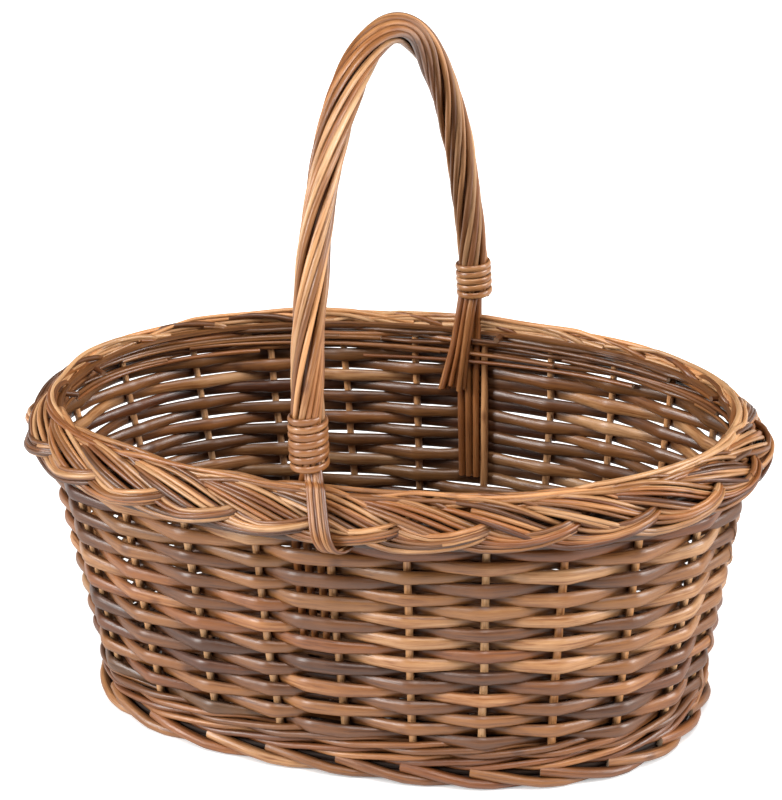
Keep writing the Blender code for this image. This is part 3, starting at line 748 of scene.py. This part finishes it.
def siding_posts():
    """Shares, numbers and radii of what the siding weaves round, in order."""
    wall = settings().wall_sizes
    posts = [(share, number, wall.stake_rod / 2)
             for number, share in enumerate(stake_shares())]
    for front, number in ((False, wall.stakes // 4), (True, 3 * wall.stakes // 4)):
        posts.append((share_at(BOW_ROD_X[front][-1], front), number, BOW_ROD / 2))
    return sorted(posts)


def woven_line(work, level, row, first, count, rod):
    """A rod's middle line past posts, outside one and inside the next.

    It starts short of the first post and ends beyond the last one, on their own sides.
    Beside the bow's rods in the back wall every row passes outside. The second value is
    1 where the rod passes outside a post, -1 where it passes inside and 0 half way.
    """
    posts = siding_posts()
    places = len(posts)
    back = settings().wall_sizes.stakes // 4
    girth = wall_girth()
    steps = np.arange(first, first + count + 1)
    passed = [posts[step % places] for step in steps]
    shares = np.array([post[0] for post in passed]) + steps // places
    beside_bow = BOW_WOVEN_FROM < level < BOW_WOVEN_TO
    sides = np.array([1 if (post[1] + row) % 2 == 0 or beside_bow and post[1] == back
                      else -1 for post in passed])
    offsets = sides * (np.array([post[2] for post in passed]) + rod + 0.3 * MM)
    front = np.where(np.mod(shares, 1) > 0.5, 1, -1)
    heights = level + work.pick(-0.3, 0.3, count + 1) * MM + sides * front * ROW_LEAN
    shares, offsets, heights = (np.pad(values, 1, "edge")
                                for values in (shares, offsets, heights))
    shares[[0, -1]] += np.array([-2.0, 1.2]) * MM / girth
    near = np.add.outer(shares[1:-1], np.array([-6, -3, -1, 1, 3, 6]) * MM / girth).ravel()
    fine = np.concatenate([np.arange(shares[0], shares[-1], 9 * MM / girth), near,
                           shares[[0, -1]]])
    fine = np.unique(np.round(fine[(fine >= shares[0]) & (fine <= shares[-1])], 5))
    bend = np.array([-1, -0.5, 0, 0.5, 1])[:, None] * 2.8 * MM / girth
    offset = np.interp(fine + bend, shares, offsets).mean(axis=0)
    height = np.interp(fine + bend, shares, heights).mean(axis=0)
    return wall_line(height, fine, offset), offset / np.abs(offsets).max()


def add_siding_rod(work, row, level, first, count):
    """One rod of a row, from its cut butt at one post to its tip at another."""
    butt = settings().wall_sizes.siding_rod / 2 * work.pick(0.98, 1.05)
    line, side = woven_line(work, level, row, first, count, butt * 0.95)
    line[:, 2] += work.noise(run_along(line), 24 * MM, 0.22 * MM)
    # The side of the rod that faces the stakes gets painted shade.
    work.add(line, taper(len(line), butt, butt * work.pick(0.86, 0.94)),
             reference=rod_reference(line), flat=SIDING_FLAT * (0.8 + 0.2 * np.abs(side)),
             sides=12, shade=work.pick(0.0, 1.0), fresh=0.1, crease=side)


def add_packing(work, row, level):
    """Thin rows, and rods laid along them inside, that close the wall under the border."""
    posts = siding_posts()
    radius = settings().wall_sizes.packing_rod / 2
    first = next(index for index, post in enumerate(posts) if post[1] % 2 == row % 2)
    add_siding_rod(work, row + 1, level + 6.5 * MM, first, len(posts) - 1)
    for step in range(5):
        height = level + (11.4 + 2.7 * step) * MM
        first = int(work.draw.integers(0, len(posts)))
        line, _ = woven_line(work, height, row + step, first, len(posts), radius)
        work.add(line, radius * work.pick(0.95, 1.1), reference=rod_reference(line),
                 sides=8, shade=work.pick(0.1, 0.8))
    rods, samples = 22, 22
    for number in range(rods):
        start = (number + work.pick(0, 0.8)) / rods
        reach = work.pick(110, 190) * MM / wall_girth()
        low = level + work.pick(10.5, 21.0) * MM
        heights = low + np.linspace(0, work.pick(-3.0, 3.0) * MM, samples)
        line = wall_line(heights, np.linspace(start, start + reach, samples), -6.1 * MM)
        work.add(line, taper(samples, radius, radius * 0.75), reference=rod_reference(line),
                 sides=8, shade=work.pick(0.1, 0.9))


def weave_siding():
    """Rows of rods that change sides at every stake and from row to row."""
    wall = settings().wall_sizes
    posts = siding_posts()
    back = wall.stakes // 4
    for row, height in enumerate(np.linspace(wall.first_row, wall.last_row, wall.rows)):
        work = RodWork(200 + row)
        # Three rods make a row, joined at posts that hide the join from the camera.
        covered = [index for index, post in enumerate(posts)
                   if (post[1] + row) % 2 == (1 if post[0] > 0.5 else 0) and post[1] != back]
        start = int(work.draw.integers(0, len(covered)))
        joins = sorted({covered[(start + step * len(covered) // 3) % len(covered)]
                        for step in range(3)})
        for first, following in zip(joins, joins[1:] + joins[:1]):
            count = (following - first) % len(posts) or len(posts)
            add_siding_rod(work, row, height, first, count)
        if row == wall.rows - 1:
            add_packing(work, row, height)
        kind, shift = ("pale_weaver", 0.02) if row % 2 else ("weaver", -0.14)
        finish = willow_finish(f"{kind}_willow", shift=shift, contrast=0.85)
        work.make(f"siding_row_{row + 1:02d}", finish, [f"weaver_{row + 1:02d}"])


def weave_wale():
    """Two rounds of three rods, each before two stakes and behind the third."""
    wall = settings().wall_sizes
    shares = stake_shares()
    unrolled = np.append(shares, shares[0] + 1)
    rod = wall.wale_rod
    beside = wall.stake_rod / 2 + rod / 2
    # How far out and how high a rod lies at a stake and half way to the next one, where it
    # passes behind that stake, before it and before it again.
    passing = (((-(beside + 0.3 * MM), 0.0), (0.0, -0.85 * rod)),
               ((beside + 0.3 * MM, -0.5 * rod), (beside + 0.2 * MM, 0.1 * rod)),
               ((beside + 0.3 * MM, 0.5 * rod), (0.2 * rod, 0.85 * rod)))
    steps = np.arange(2 * len(shares) + 1)
    places = (unrolled[steps // 2] + unrolled[(steps + 1) // 2]) / 2
    for strand in range(BUNDLES):
        work = RodWork(300 + strand)
        for level in range(2):
            middle = FOOT_TOP + 0.4 * MM + rod + level * rod * 1.95
            offsets, heights = np.array([passing[(step // 2 - strand - level) % 3][step % 2]
                                         for step in steps]).T
            knots = wall_line(middle + heights, places, offsets, level=middle)
            line = rounded_line(knots, 9 * MM, spacing=8 * MM)
            line[:, 2] += work.noise(run_along(line), 25 * MM, 0.25 * MM)
            work.add(line, rod / 2 * work.pick(0.96, 1.08), reference=rod_reference(line),
                     shade=work.pick(0.25, 0.85))
        work.make(f"wale_round_{strand + 1}", willow_finish("wale_willow", shift=-0.06),
                  [f"wale_{strand + 1}"])


# Border

# Where a bundle's inner and outer rods lie between the plait's inner edge, at -1, and its
# outer edge, at 1, and how high the bundle lies in the plait, at stations along one wave.
WAVE_STATIONS = (0.02, 0.10, 0.20, 0.28, 0.36, 0.44, 0.52, 0.60, 0.68, 0.76, 0.84, 0.90, 0.96)
INNER_ROD = (-0.97, -1.0, -0.98, -0.86, -0.66, -0.38, -0.04, 0.34, 0.56, 0.52, 0.31, 0.0, -0.6)
OUTER_ROD = (-0.55, -0.32, 0.02, 0.30, 0.56, 0.79, 0.91, 0.95, 0.95, 0.87, 0.66, 0.38, -0.1)
BUNDLE_LEVEL = (-0.4, 0.4, 0.9, 0.9, 0.5, -0.3, -0.9, -0.3, 0.5, 0.9, 0.6, -0.5, -1.2)
# The station where a bundle is hidden under the others, so that its rods are joined
# there, and how far along a wave the whole plait is shifted.
HIDDEN_STATION = 0.92
PLAIT_PHASE = 0.155


def wave_curve(values, turns):
    """Values of one wave, eased between its stations, at any number of turns."""
    fine = np.arange(360) / 360
    wave = np.interp(fine, WAVE_STATIONS, values, period=1)
    window = np.hanning(27)[1:-1]
    window /= window.sum()
    reach = len(window) // 2
    wave = np.convolve(np.concatenate([wave[-reach:], wave, wave[:reach]]), window, "valid")
    return np.interp(np.mod(turns, 1), fine, wave, period=1)


def plait_line(turns, along, lane, drop):
    """Points of a border rod whose lane runs from 0, inner, to 1, outer, in its bundle."""
    rim = settings().rim_sizes
    middle, wide, deep = rim_frames(along)
    inner, outer = wave_curve(INNER_ROD, turns), wave_curve(OUTER_ROD, turns)
    sway = rim.half_width * (inner + (outer - inner) * lane)
    lift = rim.lift * wave_curve(BUNDLE_LEVEL, turns) + drop
    lift -= 2.2 * MM * (sway / rim.half_width) ** 2 - 0.6 * MM
    return middle + wide * sway[:, None] + deep * lift[:, None], deep


def add_border_lane(work, strand, lane, shares, samples):
    """The rods that follow each other in one lane of a bundle, round the whole rim."""
    rim = settings().rim_sizes
    total = rim.waves * samples
    first = int(((HIDDEN_STATION + PLAIT_PHASE - strand / BUNDLES) % 1) * samples)
    waves = 0
    while waves < rim.waves:
        reach = min(int(work.draw.integers(1, 4)), rim.waves - waves)
        start = first + waves * samples + int(work.draw.normal(0, 0.09) * samples)
        overlap = int(samples * work.pick(0.06, 0.3))
        index = np.arange(start, start + reach * samples + overlap)
        along = shares[index % total] + index // total
        turns = rim.waves * index / total + strand / BUNDLES - PLAIT_PHASE
        place = (lane + work.noise(index, 30.0, 0.62)) / (rim.lanes - 1)
        # Rods lie over and under each other where the bundle is too narrow for all.
        crowd = np.clip(1 - (wave_curve(OUTER_ROD, turns) - wave_curve(INNER_ROD, turns))
                        * rim.half_width / (rim.lanes * rim.rod * 0.8), 0, 1)
        drop = (2 - abs(lane % 4 - 2)) * -1.4 * MM * crowd + (lane % 2) * 0.4 * MM
        drop = drop + work.noise(index, 16.0, 0.65 * MM)
        drop[-overlap:] -= np.linspace(0, 2.0 * MM, overlap)
        line, deep = plait_line(turns, along, place, drop)
        butt = rim.rod / 2 * work.pick(0.86, 1.14)
        # Painted shade on the near side, darkest where the bundle lies low.
        near = np.clip(0.5 - 1.2 * np.sin(2 * math.pi * along), 0.1, 1)
        dust = near * np.clip((-0.35 - wave_curve(BUNDLE_LEVEL, turns)) / 0.85, 0, 1)
        work.add(line, taper(len(line), butt, butt * work.pick(0.62, 0.8)), reference=deep,
                 sides=9, shade=work.pick(0.0, 1.0), inside=0.0, fresh=0.3,
                 dust=0.75 * dust, flank=EDGE_SHADE * near)
        waves += reach


def add_edge_rods(work, strand):
    """Long rods that follow the plait's inner edge, and rods hidden under the plait."""
    rim = settings().rim_sizes
    girth = wall_girth()
    pieces, layers, samples = 7, 4, 50
    for piece, layer in np.ndindex(pieces, layers):
        start = (piece + (strand + layer / layers) / BUNDLES + work.pick(-0.1, 0.1)) / pieces
        reach = work.pick(1.0, 1.35) / pieces
        shares = start + np.linspace(0, reach, samples)
        middle, wide, deep = rim_frames(shares)
        run = np.linspace(0, reach * girth, samples)
        sway = -rim.half_width * (1.02 - (0.13 - 0.03 * layer) * strand) + layer * 2.4 * MM
        sway = sway + work.noise(run, 40 * MM, 1.3 * MM)
        lift = rim.lift * 0.7 - layer * 2.3 * MM + work.noise(run, 34 * MM, 1.2 * MM)
        ends = np.clip(np.minimum(run, run[::-1]) / (38 * MM), 0, 1)
        lift = lift - (1 - ends) * (4.4 - layer) * MM
        sway = sway + (1 - ends) * work.pick(1.0, 3.5) * MM
        # The edge bulges inward where the handle passes the far border.
        beside = (np.mod(shares, 1) - share_at(settings().handle_sizes.offset, False)) * girth
        sway = sway - (5.0 - 1.2 * strand) * MM * np.exp(-(beside / (20 * MM)) ** 2)
        butt = rim.rod / 2 * work.pick(0.85, 1.1)
        # Rods of the far edge are paler, as painted light where the light from above falls.
        far = np.clip(0.5 + math.sin(2 * math.pi * (start + reach / 2)), 0, 1)
        work.add(middle + wide * sway[:, None] + deep * lift[:, None],
                 taper(samples, butt, butt * 0.72), reference=deep, sides=9,
                 shade=work.pick(0.4, 1.1) + 0.5 * far, inside=0.0, fresh=0.3, flank=0.05)
    # Rods under the plait, dark in tone and with painted shade where they show in its slits.
    around = 240
    middle, wide, deep = rim_frames(np.arange(around) / around)
    for lane in range(3):
        place = (-0.80 + 0.2 * (strand * 3 + lane)) * rim.half_width
        work.add(middle + wide * place - deep * (5.4 * MM), 1.9 * MM, reference=deep, sides=7,
                 shade=0.1 if strand else 0.5, inside=0.8 if strand else 0.2)


def add_border_ends(work):
    """Ends of border rods that poke into the basket under the rim, cut off short."""
    ends = 3
    for number in range(ends):
        share = np.array([(number + work.pick(0.1, 0.9)) / ends])
        middle, wide, deep = (value[0] for value in rim_frames(share))
        slant = work.pick(-9, 9) * MM
        start = middle - wide * 9 * MM - deep * 3 * MM
        tip = (middle - wide * work.pick(15.5, 18.5) * MM - deep * work.pick(6, 15) * MM
               + np.cross(wide, deep) * slant)
        work.add(np.linspace(start, tip, 5), work.pick(1.4, 1.9) * MM, sides=9,
                 shade=work.pick(0.0, 0.3), fresh=0.15)


def weave_border():
    """Three bundles of rods plaited round the rim."""
    rim = settings().rim_sizes
    samples = 60
    shares = shares_round(rim.waves * samples, settings().handle_sizes.offset)
    finish = willow_finish("border_willow", shift=-0.02, warm=0.1)
    for strand in range(BUNDLES):
        work = RodWork(400 + strand)
        for lane in range(rim.lanes):
            add_border_lane(work, strand, lane, shares, samples)
        add_edge_rods(work, strand)
        add_border_ends(work)
        work.make(f"border_bundle_{strand + 1}", finish,
                  [f"border_strand_{strand + 1}"])


# Handle

def arch_line(count):
    """Points of the handle's middle line, evenly spaced from its front to its back foot."""
    handle = settings().handle_sizes
    top = handle.height - handle.thickness / 2
    turns = np.linspace(0, math.pi, count)
    across = -np.sign(np.cos(turns)) * np.abs(np.cos(turns)) ** (2 / handle.squareness)
    rise = np.abs(np.sin(turns)) ** (2 / handle.squareness)
    line = np.column_stack([np.full(count, handle.offset), handle.half_span * across,
                            handle.shoulder + (top - handle.shoulder) * rise])
    run = run_along(line)
    even = np.linspace(0, run[-1], count)
    return np.column_stack([np.interp(even, run, line[:, axis]) for axis in range(3)])


def weave_bow():
    """The bow: a stout core under the roping that parts into three rods at each foot."""
    handle = settings().handle_sizes
    work = RodWork(500)
    work.add(arch_line(90)[1:-1], handle.core / 2 * 1.06, reference=(1, 0, 0), shade=0.05,
             hue=0.2)
    wall_top = settings().wall_sizes.top_height
    neck = settings().rim_sizes.width / 2
    for front, facing, inset in ((True, -1, 17.0 * MM), (False, 1, 12.5 * MM)):
        for number, x in enumerate(BOW_ROD_X[front]):
            share = [share_at(x, front)]
            tip = wall_line(handle.tip, share)[0]
            entry = wall_line(wall_top, share, -2.5 * MM)[0]
            start_x = handle.offset + (number - 1) * -2.6 * MM
            corners = [
                (start_x, facing * (handle.half_span - 0.5 * MM), handle.shoulder + 16 * MM),
                (start_x, facing * (handle.half_span - 2 * MM), handle.shoulder - MM),
                ((x + start_x) / 2, facing * (neck - inset), handle.shoulder - 17 * MM),
                entry, (tip + entry) / 2, tip]
            line = rounded_line(corners, 12 * MM, steps=5, spacing=8 * MM)
            work.add(line, taper(len(line), BOW_ROD / 2 * 1.05, BOW_ROD / 2 * 0.9),
                     reference=(0, 1, 0), shade=work.pick(0.35, 0.75), hue=work.pick(0, 0.35))
    work.make("bow_rods", willow_finish("bow_willow", shift=0.04, warm=0.1),
              ["handle_bow"])


def handle_finish():
    """The bark of the roping and its tails."""
    return willow_finish("handle_willow", shift=0.13, warm=0.1)


def weave_roping():
    """Thin rods laid side by side round the bow and twisted along it."""
    handle = settings().handle_sizes
    # The roping starts at the front shoulder and ends a little over the back one.
    arch = arch_line(220)
    arch = arch[(arch[:, 1] < 0) | (arch[:, 2] > handle.shoulder + 7 * MM)]
    count = len(arch)
    run = run_along(arch)
    sideways, inward = rod_axes(arch, (1.0, 0, 0))
    each = handle.rods // BUNDLES
    rod, rod_angle = 1.85 * MM, math.radians(26)
    for strand in range(BUNDLES):
        work = RodWork(510 + strand)
        for lane in range(each):
            spread = (lane - (each - 1) / 2) * rod_angle
            turn = (2 * math.pi * (handle.turns * np.linspace(0, 1, count)
                                   + strand / BUNDLES)
                    + spread + work.noise(run, 60 * MM, math.radians(3.2)) + 0.4)
            away = handle.thickness / 2 - rod + work.noise(run, 50 * MM, 0.55 * MM)
            line = (arch + sideways * (np.cos(turn) * away)[:, None]
                    + inward * (np.sin(turn) * away)[:, None])
            butt = rod * work.pick(0.95, 1.1)
            radii = taper(count, butt, butt * 0.9)
            # Painted shade where the rods turn round the inner side of the arch.
            work.add(line, radii[::-1] if lane % 2 else radii, reference=line - arch,
                     shade=work.pick(0.0, 1.0), hue=work.pick(0, 0.6),
                     dust=0.55 * np.clip(0.3 + np.sin(turn), 0, 1))
        work.make(f"roping_bundle_{strand + 1}", handle_finish(),
                  [f"handle_rope_{strand + 1}"])


def weave_bindings():
    """A split rod wound round the roping above each foot of the bow."""
    handle = settings().handle_sizes
    finish = willow_finish("binding_willow", shift=0.18, contrast=0.8, gloss=0.06)
    arch = arch_line(200)
    steps = 40
    wide, thin, pitch = 2.0 * MM, 1.05 * MM, 4.15 * MM
    # For each binding: its seed, its leg of the handle, how much of the last loop is
    # missing, the angle and the height over the shoulder where it starts, and its shade.
    for name, seed, leg, missing, start, lift, shade in (
            ("front", 521, arch[:100], 0.45, 2.4, -0.4 * MM, 0.4),
            ("back", 520, arch[::-1][:100], 1.8, 0.6, 7.0 * MM, 0.6)):
        work = RodWork(seed)
        turns = np.arange(int((handle.loops - missing) * steps) + 1) / steps
        turned = 2 * math.pi * turns + start
        height = handle.shoulder + lift + turns * pitch
        height = height + 0.35 * MM * np.sin(turned * 0.5 + 0.7)
        first_turns = np.clip(1 - turns / 1.6, 0, 1)
        height = height - first_turns * 1.7 * MM * (0.5 - 0.5 * np.cos(turned - 2.6))
        radius = handle.thickness / 2 + thin * 0.9
        for from_end in (turns, turns[-1] - turns):
            radius = radius - 1.5 * MM * np.clip(1 - from_end * 4, 0, 1)
        across = np.interp(height, leg[:, 2], leg[:, 1])
        around = np.column_stack([np.cos(turned), np.sin(turned), np.zeros(len(turned))])
        line = np.column_stack([handle.offset + radius * around[:, 0],
                                across + radius * around[:, 1], height])
        work.add(line, thin, reference=around, flat=wide / thin, sides=12, shade=shade,
                 hue=0.3, rough=0.6)
        work.make(f"split_binding_{name}", finish, [f"binding_{name}"])


def weave_front_tail():
    """Roping ends that run over the border, fan out and tuck in under its outer edge."""
    handle = settings().handle_sizes
    rim = settings().rim_sizes
    work = RodWork(530)
    share = np.array([share_at(handle.offset, True)])
    middle, wide, deep = (value[0] for value in rim_frames(share))
    shoulder = np.array([handle.offset, -handle.half_span, handle.shoulder])
    edge = rim.half_width + rim.rod
    rise = rim.lift + rim.rod
    # Each stop: across the border, over it, along the rim and the spread between rods.
    stops = ((-0.6, 1.75, 7.6, 2.0), (-0.2, 1.45, 9.4, 2.05), (0.15, 1.25, 11.2, 2.1),
             (0.55, 1.05, 13.4, 2.15), (0.86, 0.7, 15.6, 2.15), (1.04, -0.1, 18.0, 2.0),
             (0.95, -0.95, 21.5, 1.9), (0.62, -1.4, 25.0, 1.9))
    rods = 6
    for rod in range(rods):
        place = (rod - (rods - 1) / 2) * 0.9
        bulge = rod % 2
        route = [shoulder + MM * np.array(point) for point in (
            (place * 1.6 + 2.0, -3.6, 9),
            (place * 1.8 + 4.0, -5.0, -1),
            (place * 1.95 + 6.0, -8.2 - bulge, -7.5))]
        for across, over, shift, spread in stops:
            route.append(middle + wide * (across * edge) + deep * (over * rise + bulge * MM)
                         + [(place * spread + shift) * MM, 0, 0])
        line = rounded_line(route, 8 * MM, steps=5, spacing=5 * MM)
        work.add(line, taper(len(line), 1.22 * MM, 0.95 * MM), reference=deep,
                 shade=work.pick(0.0, 0.8), hue=work.pick(0.2, 0.6))
    work.make("tail_over_border", handle_finish(), ["handle_tail_front"])


def weave_back_tail():
    """Roping ends left hanging inside the wall and cut off below the border."""
    handle = settings().handle_sizes
    work = RodWork(531)
    shoulder = np.array([handle.offset, handle.half_span, handle.shoulder])
    rods = 7
    for rod in range(rods):
        place = rod - (rods - 1) / 2
        row = rod % 2
        route = [shoulder + MM * np.array(point) for point in (
            (place * 1.5 - 2, -5.0 - row * 1.5, 9),
            (place * 1.45 - 3.5, -7.4 - row * 2, -2),
            (place * 1.6 - 7, -9.4 - row * 2, -24),
            (place * 2.5 - 12.5, -11 - row * 2.2, -50 - work.pick(-2, 3)))]
        line = rounded_line(route, 8 * MM, spacing=5 * MM)
        work.add(line, taper(len(line), 1.75 * MM, 1.5 * MM), reference=(0, -1, 0),
                 shade=work.pick(0.0, 0.6), hue=work.pick(0, 0.4), fresh=0.3)
    work.make("tail_inside", handle_finish(), ["handle_tail_back"])


# Studio

def place_camera():
    """The camera at the photograph's viewing angle."""
    studio = settings().studio_settings
    azimuth, elevation, roll = studio.azimuth, studio.elevation, studio.roll
    back = Vector((math.sin(azimuth) * math.cos(elevation),
                   -math.cos(azimuth) * math.cos(elevation), math.sin(elevation)))
    level = Vector((math.cos(azimuth), math.sin(azimuth), 0))
    up = back.cross(level)
    right = level * math.cos(roll) + up * math.sin(roll)
    top = up * math.cos(roll) - level * math.sin(roll)
    data = bpy.data.cameras.new("studio_camera")
    data.sensor_fit = "HORIZONTAL"
    data.sensor_width = 36
    data.lens = studio.lens
    camera = bpy.data.objects.new("studio_camera", data)
    bpy.context.scene.collection.objects.link(camera)
    place = Vector((studio.target_x, 0, studio.target_z)) + back * studio.distance
    axes = Matrix((right, top, back)).transposed().to_4x4()
    camera.matrix_world = Matrix.Translation(place) @ axes
    bpy.context.scene.camera = camera
    return back, right


def lay_floor():
    """A wide pale floor that reads white round the basket and stays plain under it."""
    half = 8.0
    mesh = bpy.data.meshes.new("studio_floor")
    mesh.from_pydata([(-half, -half, 0), (half, -half, 0), (half, half, 0), (-half, half, 0)],
                     [], [(0, 1, 2, 3)])
    floor = bpy.data.objects.new("studio_floor", mesh)
    bpy.context.scene.collection.objects.link(floor)
    material = bpy.data.materials.new("pale_floor")
    tree = empty_tree(material)
    wall = settings().wall_sizes
    place = node(tree, "ShaderNodeTexCoord", (-1000, 0))
    oval = node(tree, "ShaderNodeMapping", (-800, 0), Vector=place.outputs["Object"],
                Scale=(2 / wall.foot_length, 2 / wall.foot_width, 0))
    reach = node(tree, "ShaderNodeVectorMath", (-600, 0), operation="LENGTH")
    tree.links.new(oval.outputs[0], reach.inputs[0])
    outside = remap(tree, (-400, 0), reach.outputs["Value"], 0.96, 1.12, 0.0, 0.5)
    rays = node(tree, "ShaderNodeLightPath", (-400, -300))
    glow = arithmetic(tree, (-150, 0), "MULTIPLY", outside, rays.outputs["Is Camera Ray"])
    shader = node(tree, "ShaderNodeBsdfPrincipled", (100, 0), Base_Color=(0.9, 0.9, 0.9),
                  Roughness=0.9, Specular_IOR_Level=0.0, Emission_Color=(1, 1, 1),
                  Emission_Strength=glow)
    node(tree, "ShaderNodeOutputMaterial", (400, 0), Surface=shader.outputs[0])
    mesh.materials.append(material)


def light_studio(back, right):
    """An even pale sky, a soft light on each side of the basket and one above the camera."""
    studio = settings().studio_settings
    world = bpy.data.worlds.new("studio_sky")
    bpy.context.scene.world = world
    tree = empty_tree(world)
    rays = node(tree, "ShaderNodeLightPath", (-400, 0))
    white = node(tree, "ShaderNodeBackground", (-200, 0), Color=(1, 1, 1), Strength=1.0)
    sky = node(tree, "ShaderNodeBackground", (-200, -200), Color=(1.0, 0.98, 0.96),
               Strength=studio.sky)
    mix = node(tree, "ShaderNodeMixShader", (0, 0), Fac=rays.outputs["Is Camera Ray"])
    tree.links.new(sky.outputs[0], mix.inputs[1])
    tree.links.new(white.outputs[0], mix.inputs[2])
    node(tree, "ShaderNodeOutputWorld", (200, 0), Surface=mix.outputs[0])

    level_back = Vector((back.x, back.y, 0)).normalized()
    level_right = Vector((right.x, right.y, 0)).normalized()
    # Each light: its strength, its turn from the camera and its height angle.
    for name, energy, turn, rise in (
            ("key_light", studio.key, -studio.key_turn, studio.key_rise),
            ("fill_light", studio.fill, studio.key_turn, studio.key_rise),
            ("top_light", studio.top, 0.0, math.radians(60))):
        level = level_back * math.cos(turn) + level_right * math.sin(turn)
        direction = level * math.cos(rise) + Vector((0, 0, math.sin(rise)))
        lamp = bpy.data.lights.new(name, "SUN")
        lamp.energy = energy
        lamp.angle = studio.spread
        light = bpy.data.objects.new(name, lamp)
        bpy.context.scene.collection.objects.link(light)
        light.location = direction * 2.0
        light.rotation_euler = direction.to_track_quat("Z", "Y").to_euler()


# Operators and panel

class PieceMaker:
    """Shared by the operators: each one makes its pieces and reports that it is done."""

    bl_options = {"REGISTER", "UNDO"}
    makers = ()

    def execute(self, context):
        """Make the pieces; a maker that fails raises its error."""
        for maker in self.makers:
            maker()
        return {"FINISHED"}


class BASKET_OT_base(PieceMaker, bpy.types.Operator):
    """Weave the base: crossed sticks and the rods that spiral round them."""

    bl_idname = "basket.weave_base"
    bl_label = "Weave base"
    makers = (weave_base_sticks, weave_base_rods)


class BASKET_OT_foot(PieceMaker, bpy.types.Operator):
    """Lay the strokes round the foot."""

    bl_idname = "basket.weave_foot"
    bl_label = "Weave foot"
    makers = (weave_foot,)


class BASKET_OT_stakes(PieceMaker, bpy.types.Operator):
    """Set up the stakes."""

    bl_idname = "basket.set_stakes"
    bl_label = "Set stakes"
    makers = (weave_stakes,)


class BASKET_OT_wale(PieceMaker, bpy.types.Operator):
    """Wale the upsett over the foot."""

    bl_idname = "basket.weave_wale"
    bl_label = "Weave wale"
    makers = (weave_wale,)


class BASKET_OT_siding(PieceMaker, bpy.types.Operator):
    """Weave the rows of the siding."""

    bl_idname = "basket.weave_siding"
    bl_label = "Weave siding"
    makers = (weave_siding,)


class BASKET_OT_border(PieceMaker, bpy.types.Operator):
    """Plait the border."""

    bl_idname = "basket.plait_border"
    bl_label = "Plait border"
    makers = (weave_border,)


class BASKET_OT_bow(PieceMaker, bpy.types.Operator):
    """Set the bow into the wall."""

    bl_idname = "basket.set_bow"
    bl_label = "Set bow"
    makers = (weave_bow,)


class BASKET_OT_roping(PieceMaker, bpy.types.Operator):
    """Rope the bow and leave the ends of the roping as tails."""

    bl_idname = "basket.rope_handle"
    bl_label = "Rope handle"
    makers = (weave_roping, weave_front_tail, weave_back_tail)


class BASKET_OT_bindings(PieceMaker, bpy.types.Operator):
    """Bind both feet of the handle with split rods."""

    bl_idname = "basket.bind_handle"
    bl_label = "Bind handle"
    makers = (weave_bindings,)


class BASKET_OT_studio(bpy.types.Operator):
    """Lay the floor, set the light and place the camera."""

    bl_idname = "basket.set_studio"
    bl_label = "Set studio"
    bl_options = {"REGISTER", "UNDO"}

    def execute(self, context):
        """Make the stage round the basket."""
        context.scene.view_settings.view_transform = "Standard"
        lay_floor()
        back, right = place_camera()
        light_studio(back, right)
        return {"FINISHED"}


OPERATORS = (BASKET_OT_base, BASKET_OT_foot, BASKET_OT_stakes, BASKET_OT_wale,
             BASKET_OT_siding, BASKET_OT_border, BASKET_OT_bow, BASKET_OT_roping,
             BASKET_OT_bindings, BASKET_OT_studio)
GROUPS = {
    "wall_sizes": WallSizes,
    "rim_sizes": RimSizes,
    "handle_sizes": HandleSizes,
    "willow_tones": WillowTones,
    "studio_settings": StudioSettings,
}


class BASKET_PT_panel(bpy.types.Panel):
    """The basket's sizes, colours and steps, in the order of the work."""

    bl_idname = "BASKET_PT_panel"
    bl_label = "Willow basket"
    bl_space_type = "VIEW_3D"
    bl_region_type = "UI"
    bl_category = "Basket"

    def draw(self, context):
        """List the settings and one button for each step."""
        for group in GROUPS:
            box = self.layout.box()
            values = getattr(context.scene, group)
            for key in values.__annotations__:
                box.prop(values, key)
        for operator in OPERATORS:
            self.layout.operator(operator.bl_idname)


def register():
    """Register the settings, the operators and the panel."""
    for name, group in GROUPS.items():
        bpy.utils.register_class(group)
        setattr(bpy.types.Scene, name, PointerProperty(type=group))
    for operator in OPERATORS:
        bpy.utils.register_class(operator)
    bpy.utils.register_class(BASKET_PT_panel)


def unregister():
    """Take the panel, the operators and the settings away again."""
    bpy.utils.unregister_class(BASKET_PT_panel)
    for operator in reversed(OPERATORS):
        bpy.utils.unregister_class(operator)
    for name, group in GROUPS.items():
        delattr(bpy.types.Scene, name)
        bpy.utils.unregister_class(group)


def main():
    """Weave the basket step by step."""
    register()
    bpy.ops.basket.weave_base()
    bpy.ops.basket.weave_foot()
    bpy.ops.basket.set_stakes()
    bpy.ops.basket.weave_wale()
    bpy.ops.basket.weave_siding()
    bpy.ops.basket.plait_border()
    bpy.ops.basket.set_bow()
    bpy.ops.basket.rope_handle()
    bpy.ops.basket.bind_handle()
    bpy.ops.basket.set_studio()


if __name__ == "__main__":
    main()
